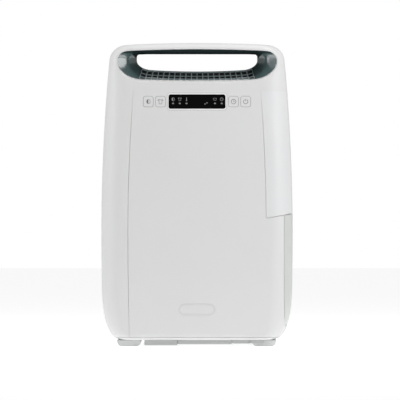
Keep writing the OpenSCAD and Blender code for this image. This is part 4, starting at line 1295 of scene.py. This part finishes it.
def filter_cassette():
    """The filter's frame, open in six bays."""
    low, high = box_mm("filter_frame")
    w, h = high[0] - low[0], high[2] - low[2]
    bay_w, bay_h = (w - 6) / 3, (h - 14) / 2
    holes = [rounded(low[0] + 4 + bay_w * (i + 0.5) - 1.5, low[2] + 4 + bay_h * (j + 0.5) - 1.5, bay_w - 3,
                     bay_h - 3, 2, 0.5, 3)
             for i in range(3) for j in range(2)]
    holes = [[(-u, v, lip) for u, v, lip in hole] for hole in holes]
    return moulding(rear_plane(high[1]), rounded(0, (low[2] + high[2]) / 2, w, h, 2.5, 0.7), holes,
                    thick=high[1] - low[1], pitch=9, back=0.7, us=[], vs=[])


def rear_screws():
    """Pan heads with a cross recess, and their shanks."""
    low, high = box_mm("rear_screws")
    arm, w = 1.9, 0.42
    cross = [(w, w), (arm, w), (arm, -w), (w, -w), (w, -arm), (-w, -arm), (-w, -w), (-arm, -w), (-arm, w),
             (-w, w),
             (-w, arm), (w, arm)]
    parts = []
    for x, z in screw_places():
        recess = [(-x + a, z + b, 0.12) for a, b in cross]
        parts.append(moulding(rear_plane(high[1]), ring(-x, z, 3.5, 0.9), [recess], thick=1.1, pitch=3, us=[],
                              vs=[]))
        shank = [(3.3, high[1] - 1.4), (3.3, high[1] - 0.9), (1.45, high[1] - 1.4), (1.45, low[1] + 2),
                 (0.3, low[1])]
        parts.append(turned((x, 0, z), 1, sorted(shank, key=lambda p: p[1]), 20))
    return joined(*parts)


def cord_gland():
    """A ribbed strain-relief bush, empty."""
    low, high = box_mm("cord_gland")
    middle = (low + high) / 2
    start, end = low[1], high[1]
    profile = [(3.75, start), (8, start), (8, start + 4.8), (12, start + 5), (12, start + 7.9),
               (7.9, start + 8)]
    for i in range(2):
        y = start + 8 + i * 1.1
        profile += [(7.9, y + 0.2), (7.2, y + 0.35), (7.2, y + 0.7), (7.9, y + 0.85)]
    profile += [(7.6, end), (3.75, end), (3.75, start)]
    rings, faces, normals = turned((middle[0], 0, middle[2]), 1, profile, 36)
    return rings, faces[:-2], normals


def drain_plug():
    low, high = box_mm("drain_plug")
    middle = (low + high) / 2
    r, y0, y1 = (high[0] - low[0]) / 2, low[1], high[1]
    profile = [(0.2, y0), (3.2, y0), (3.9, y0 + 1.2)]
    for i in range(3):
        y = y0 + 2 + i * 3
        profile += [(3.6, y), (3.9, y + 0.8), (3.9, y + 1.6), (3.6, y + 2.2)]
    profile += [(3.8, y1 - 3.1), (r - 0.4, y1 - 3), (r, y1 - 2.6), (r, y1 - 0.6), (r - 0.7, y1),
                (0.2, y1 - 0.4)]
    return turned((middle[0], 0, middle[2]), 1, profile, 32)


# ---- operators --------------------------------------------------------------


class DEHUMIDIFIER_OT_covers(bpy.types.Operator):
    """Build the front cover, both side panels and the rear cover"""

    bl_idname = "dehumidifier.covers"
    bl_label = "Covers"

    def execute(self, context):
        skin = Skin()
        plan = Layout(skin)
        white = finish("body_white")
        piece("front_cover_skin", front_cover(skin, plan), white, "housing", "body_white", "front_cover")
        piece("left_side_skin", left_side_panel(skin, plan), white, "housing", "body_white",
              "left_side_panel")
        piece("right_side_skin", right_side_panel(skin, plan), finish("side_white"), "housing", "side_white",
              "right_side_panel")
        piece("rear_cover_skin", rear_cover(skin, plan), white, "housing", "body_white", "rear_cover")
        return {"FINISHED"}


class DEHUMIDIFIER_OT_base(bpy.types.Operator):
    """Build the base with its sill, the skids and the rubber feet"""

    bl_idname = "dehumidifier.base"
    bl_label = "Base and feet"

    def execute(self, context):
        skin = Skin()
        piece("base_band", base_tray(skin, Layout(skin)), finish("body_white"), "housing", "body_white",
              "base_tray")
        piece("skid_blocks", base_skids(skin), finish("skid_grey"), "housing", "skid_grey", "base_skid")
        piece("feet", rubber_feet(skin), finish("rubber_grey"), "housing", "rubber_grey", "rubber_feet")
        return {"FINISHED"}


class DEHUMIDIFIER_OT_outlet(bpy.types.Operator):
    """Build the glossy funnel through the handle and the grille in its floor"""

    bl_idname = "dehumidifier.outlet"
    bl_label = "Outlet funnel and grille"

    def execute(self, context):
        funnel = Funnel(Skin())
        piece("funnel_lining", funnel_lining(funnel), finish("teal_lining"), "housing", "teal_lining",
              "outlet_funnel")
        piece("grille_ribs", outlet_grille(funnel), finish("grille_teal"), "housing", "grille_teal",
              "outlet_grille")
        return {"FINISHED"}


class DEHUMIDIFIER_OT_controls(bpy.types.Operator):
    """Build the display, its rim and marks, the four buttons and the blank badge"""

    bl_idname = "dehumidifier.controls"
    bl_label = "Controls and badge"

    def execute(self, context):
        front = Skin().front_y
        w, h, z = display_box()
        rim = moulding(front_plane(front), rounded(0, z, w + 4, h + 4, 5.2, 0.8),
                       [rounded(0, z, w, h, 3.5, 0.5)],
                       thick=2.6, us=[], vs=[])
        piece("display_rim", rim, finish("bezel_silver"), "housing", "bezel_silver", "display_bezel")
        glass = moulding(front_plane(front + 0.5), rounded(0, z, w - 0.4, h - 0.4, 3.3, 0.35), thick=1.4)
        window = piece("display_glass", glass, finish("display_black"), "housing", "display_black",
                       "display_window")
        marks = piece("display_marks", display_marks(front + 0.5, z), finish("mark_grey"), "housing",
                      "display_black")
        marks.parent = window
        for name in BUTTONS:
            x, z, w, h = button_box(name)
            cap = moulding(front_plane(front), rounded(x, z, w - 1, h - 1, 3.5, 0.7), thick=3.2, rows=4)
            key = piece(name + "_cap", cap, finish("body_white"), name.replace("_button", "_key"),
                        "body_white", name)
            mark, size = BUTTON_MARKS[name]
            printed_mark = piece(name + "_mark", mark(front, x, z, size), finish("printed_grey"),
                                 name.replace("_button", "_key"), "body_white")
            printed_mark.parent = key
        low, high = box_mm("badge")
        x, z, w, h = (low[0] + high[0]) / 2, (low[2] + high[2]) / 2, high[0] - low[0], high[2] - low[2]
        ridge = 1.5
        edge = moulding(front_plane(low[1]), rounded(x, z, w, h, h / 2 - 0.1, 0.5, 12),
                        [rounded(x, z, w - 2 * ridge, h - 2 * ridge, h / 2 - ridge - 0.1, 0.5, 12)],
                        thick=high[1] - low[1], us=[], vs=[])
        face = moulding(front_plane(low[1] + 0.35), rounded(x, z, w - 2 * ridge, h - 2 * ridge,
                                                            h / 2 - ridge - 0.1, 0.3, 12),
                        thick=0.3)
        piece("badge_plate", joined(edge, face), finish("body_white"), "housing", "body_white", "badge")
        return {"FINISHED"}


class DEHUMIDIFIER_OT_tank(bpy.types.Operator):
    """Build the water tank: outer panel, inner tub and lid"""

    bl_idname = "dehumidifier.tank"
    bl_label = "Water tank"

    def execute(self, context):
        skin = Skin()
        tint = finish("tank_tint")
        piece("tank_side", tank_panel(skin, Layout(skin)), tint, "tank", "tank_tint", "tank_panel")
        low, high = box_mm("tank_shell")
        piece("tank_tub", tub(low, high, 2.0, 9.0), tint, "tank", "tank_tint", "tank_shell")
        piece("tank_cover", tank_lid(), finish("lid_grey"), "tank", "lid_grey", "tank_lid")
        return {"FINISHED"}


class DEHUMIDIFIER_OT_rear(bpy.types.Operator):
    """Build the rear grille, filter cassette, screws, cord gland and drain plug"""

    bl_idname = "dehumidifier.rear"
    bl_label = "Rear fittings"

    def execute(self, context):
        piece("intake_grille", rear_grille(), finish("body_white"), "housing", "body_white", "rear_grille")
        piece("filter_cassette", filter_cassette(), finish("dark_plastic"), "filter", "dark_plastic",
              "filter_frame")
        piece("screw_set", rear_screws(), finish("steel"), "housing", "steel", "rear_screws")
        piece("gland_bush", cord_gland(), finish("rubber_black"), "housing", "rubber_black", "cord_gland")
        piece("drain_stopper", drain_plug(), finish("rubber_black"), "plug", "rubber_black", "drain_plug")
        return {"FINISHED"}


class DEHUMIDIFIER_OT_works(bpy.types.Operator):
    """Give every piece of the inner works its finish"""

    bl_idname = "dehumidifier.works"
    bl_label = "Inner works"

    def execute(self, context):
        slots = {row["node"]: row["material_slot"] for row in frame["record"]["subparts"]}
        for name, made in frame["nodes"].items():
            made.data.materials.clear()
            made.data.materials.append(finish(slots[name]))
        return {"FINISHED"}


class DEHUMIDIFIER_OT_stage(bpy.types.Operator):
    """Set the pale floor, the soft studio light and the camera"""

    bl_idname = "dehumidifier.stage"
    bl_label = "Studio"

    def execute(self, context):
        floor_shape = loft([[(-9, -9, 0), (9, -9, 0)], [(-9, 9, 0), (9, 9, 0)]], closed=False, caps=False)
        mesh = bpy.data.meshes.new("studio_floor")
        mesh.from_pydata([tuple(p) for p in floor_shape[0]], [], floor_shape[1])
        paper = Shader("studio_paper")
        paper.colour(paper.mix(paper.noise(3, 2), (0.93, 0.93, 0.93), (0.95, 0.95, 0.95)))
        paper.roughness(0.9)
        paper.set(paper.surface.inputs["Emission Color"], (1, 1, 1))
        paper.set(paper.surface.inputs["Emission Strength"], 0.6)
        mesh.materials.append(paper.material)
        floor = bpy.data.objects.new("studio_floor", mesh)
        context.scene.collection.objects.link(floor)

        world = bpy.data.worlds.new("studio")
        world.use_nodes = True
        nodes = world.node_tree.nodes
        seen, lit = nodes["Background"], nodes.new("ShaderNodeBackground")
        seen.inputs["Color"].default_value = lit.inputs["Color"].default_value = (1, 1, 1, 1)
        seen.inputs["Strength"].default_value, lit.inputs["Strength"].default_value = 1.0, 0.36
        either, path = nodes.new("ShaderNodeMixShader"), nodes.new("ShaderNodeLightPath")
        link = world.node_tree.links.new
        link(path.outputs["Is Camera Ray"], either.inputs[0])
        link(lit.outputs[0], either.inputs[1])
        link(seen.outputs[0], either.inputs[2])
        link(either.outputs[0], nodes["World Output"].inputs["Surface"])
        context.scene.world = world

        low, high = CAD_BOX
        middle = (low + high) / 2
        for name, place, size, power in (("left_softbox", (-0.85, -0.18, 0.85), (0.4, 1.5), 4.0),
                                         ("right_softbox", (0.72, -0.5, 0.85), (0.5, 1.5), 4.6),
                                         ("top_softbox", (0.15, -0.35, 1.6), (1.3, 0.8), 8)):
            data = bpy.data.lights.new(name, "AREA")
            data.shape, data.size, data.size_y, data.energy = "RECTANGLE", *size, power
            light = bpy.data.objects.new(name, data)
            light.location = place
            light.rotation_euler = (middle - light.location).to_track_quat("-Z", "Y").to_euler()
            context.scene.collection.objects.link(light)

        distance, width = 8.0, 0.6737
        data = bpy.data.cameras.new("studio_camera")
        data.sensor_width = 36
        data.lens = data.sensor_width * (distance + low.y) / width
        data.clip_start, data.clip_end = 0.1, 100
        camera = bpy.data.objects.new("studio_camera", data)
        camera.location = (0.00505, -distance, 0.2472)
        camera.rotation_euler = (QUARTER, 0, 0)
        context.scene.collection.objects.link(camera)
        context.scene.camera = camera
        context.scene.view_settings.view_transform = "Standard"
        return {"FINISHED"}


STEPS = (DEHUMIDIFIER_OT_stage, DEHUMIDIFIER_OT_covers, DEHUMIDIFIER_OT_base, DEHUMIDIFIER_OT_outlet,
         DEHUMIDIFIER_OT_controls, DEHUMIDIFIER_OT_tank, DEHUMIDIFIER_OT_rear, DEHUMIDIFIER_OT_works)


class DEHUMIDIFIER_PT_panel(bpy.types.Panel):
    """Lists the steps that dress the frame"""

    bl_label = "Dehumidifier"
    bl_idname = "DEHUMIDIFIER_PT_panel"
    bl_space_type = "VIEW_3D"
    bl_region_type = "UI"
    bl_category = "Dehumidifier"

    def draw(self, context):
        for step in STEPS:
            self.layout.operator(step.bl_idname)
        for group in ("form", "outlet", "colours"):
            chosen = getattr(context.scene.dehumidifier, group)
            for name in type(chosen).__annotations__:
                self.layout.prop(chosen, name)


CLASSES = (FormSizes, OutletSizes, Colours, DehumidifierSettings, *STEPS, DEHUMIDIFIER_PT_panel)


def register():
    for cls in CLASSES:
        bpy.utils.register_class(cls)
    bpy.types.Scene.dehumidifier = PointerProperty(type=DehumidifierSettings)


def unregister():
    del bpy.types.Scene.dehumidifier
    for cls in reversed(CLASSES):
        bpy.utils.unregister_class(cls)


def main():
    register()
    for step in STEPS:
        group, name = step.bl_idname.split(".")
        getattr(getattr(bpy.ops, group), name)()


if __name__ == "__main__":
    main()
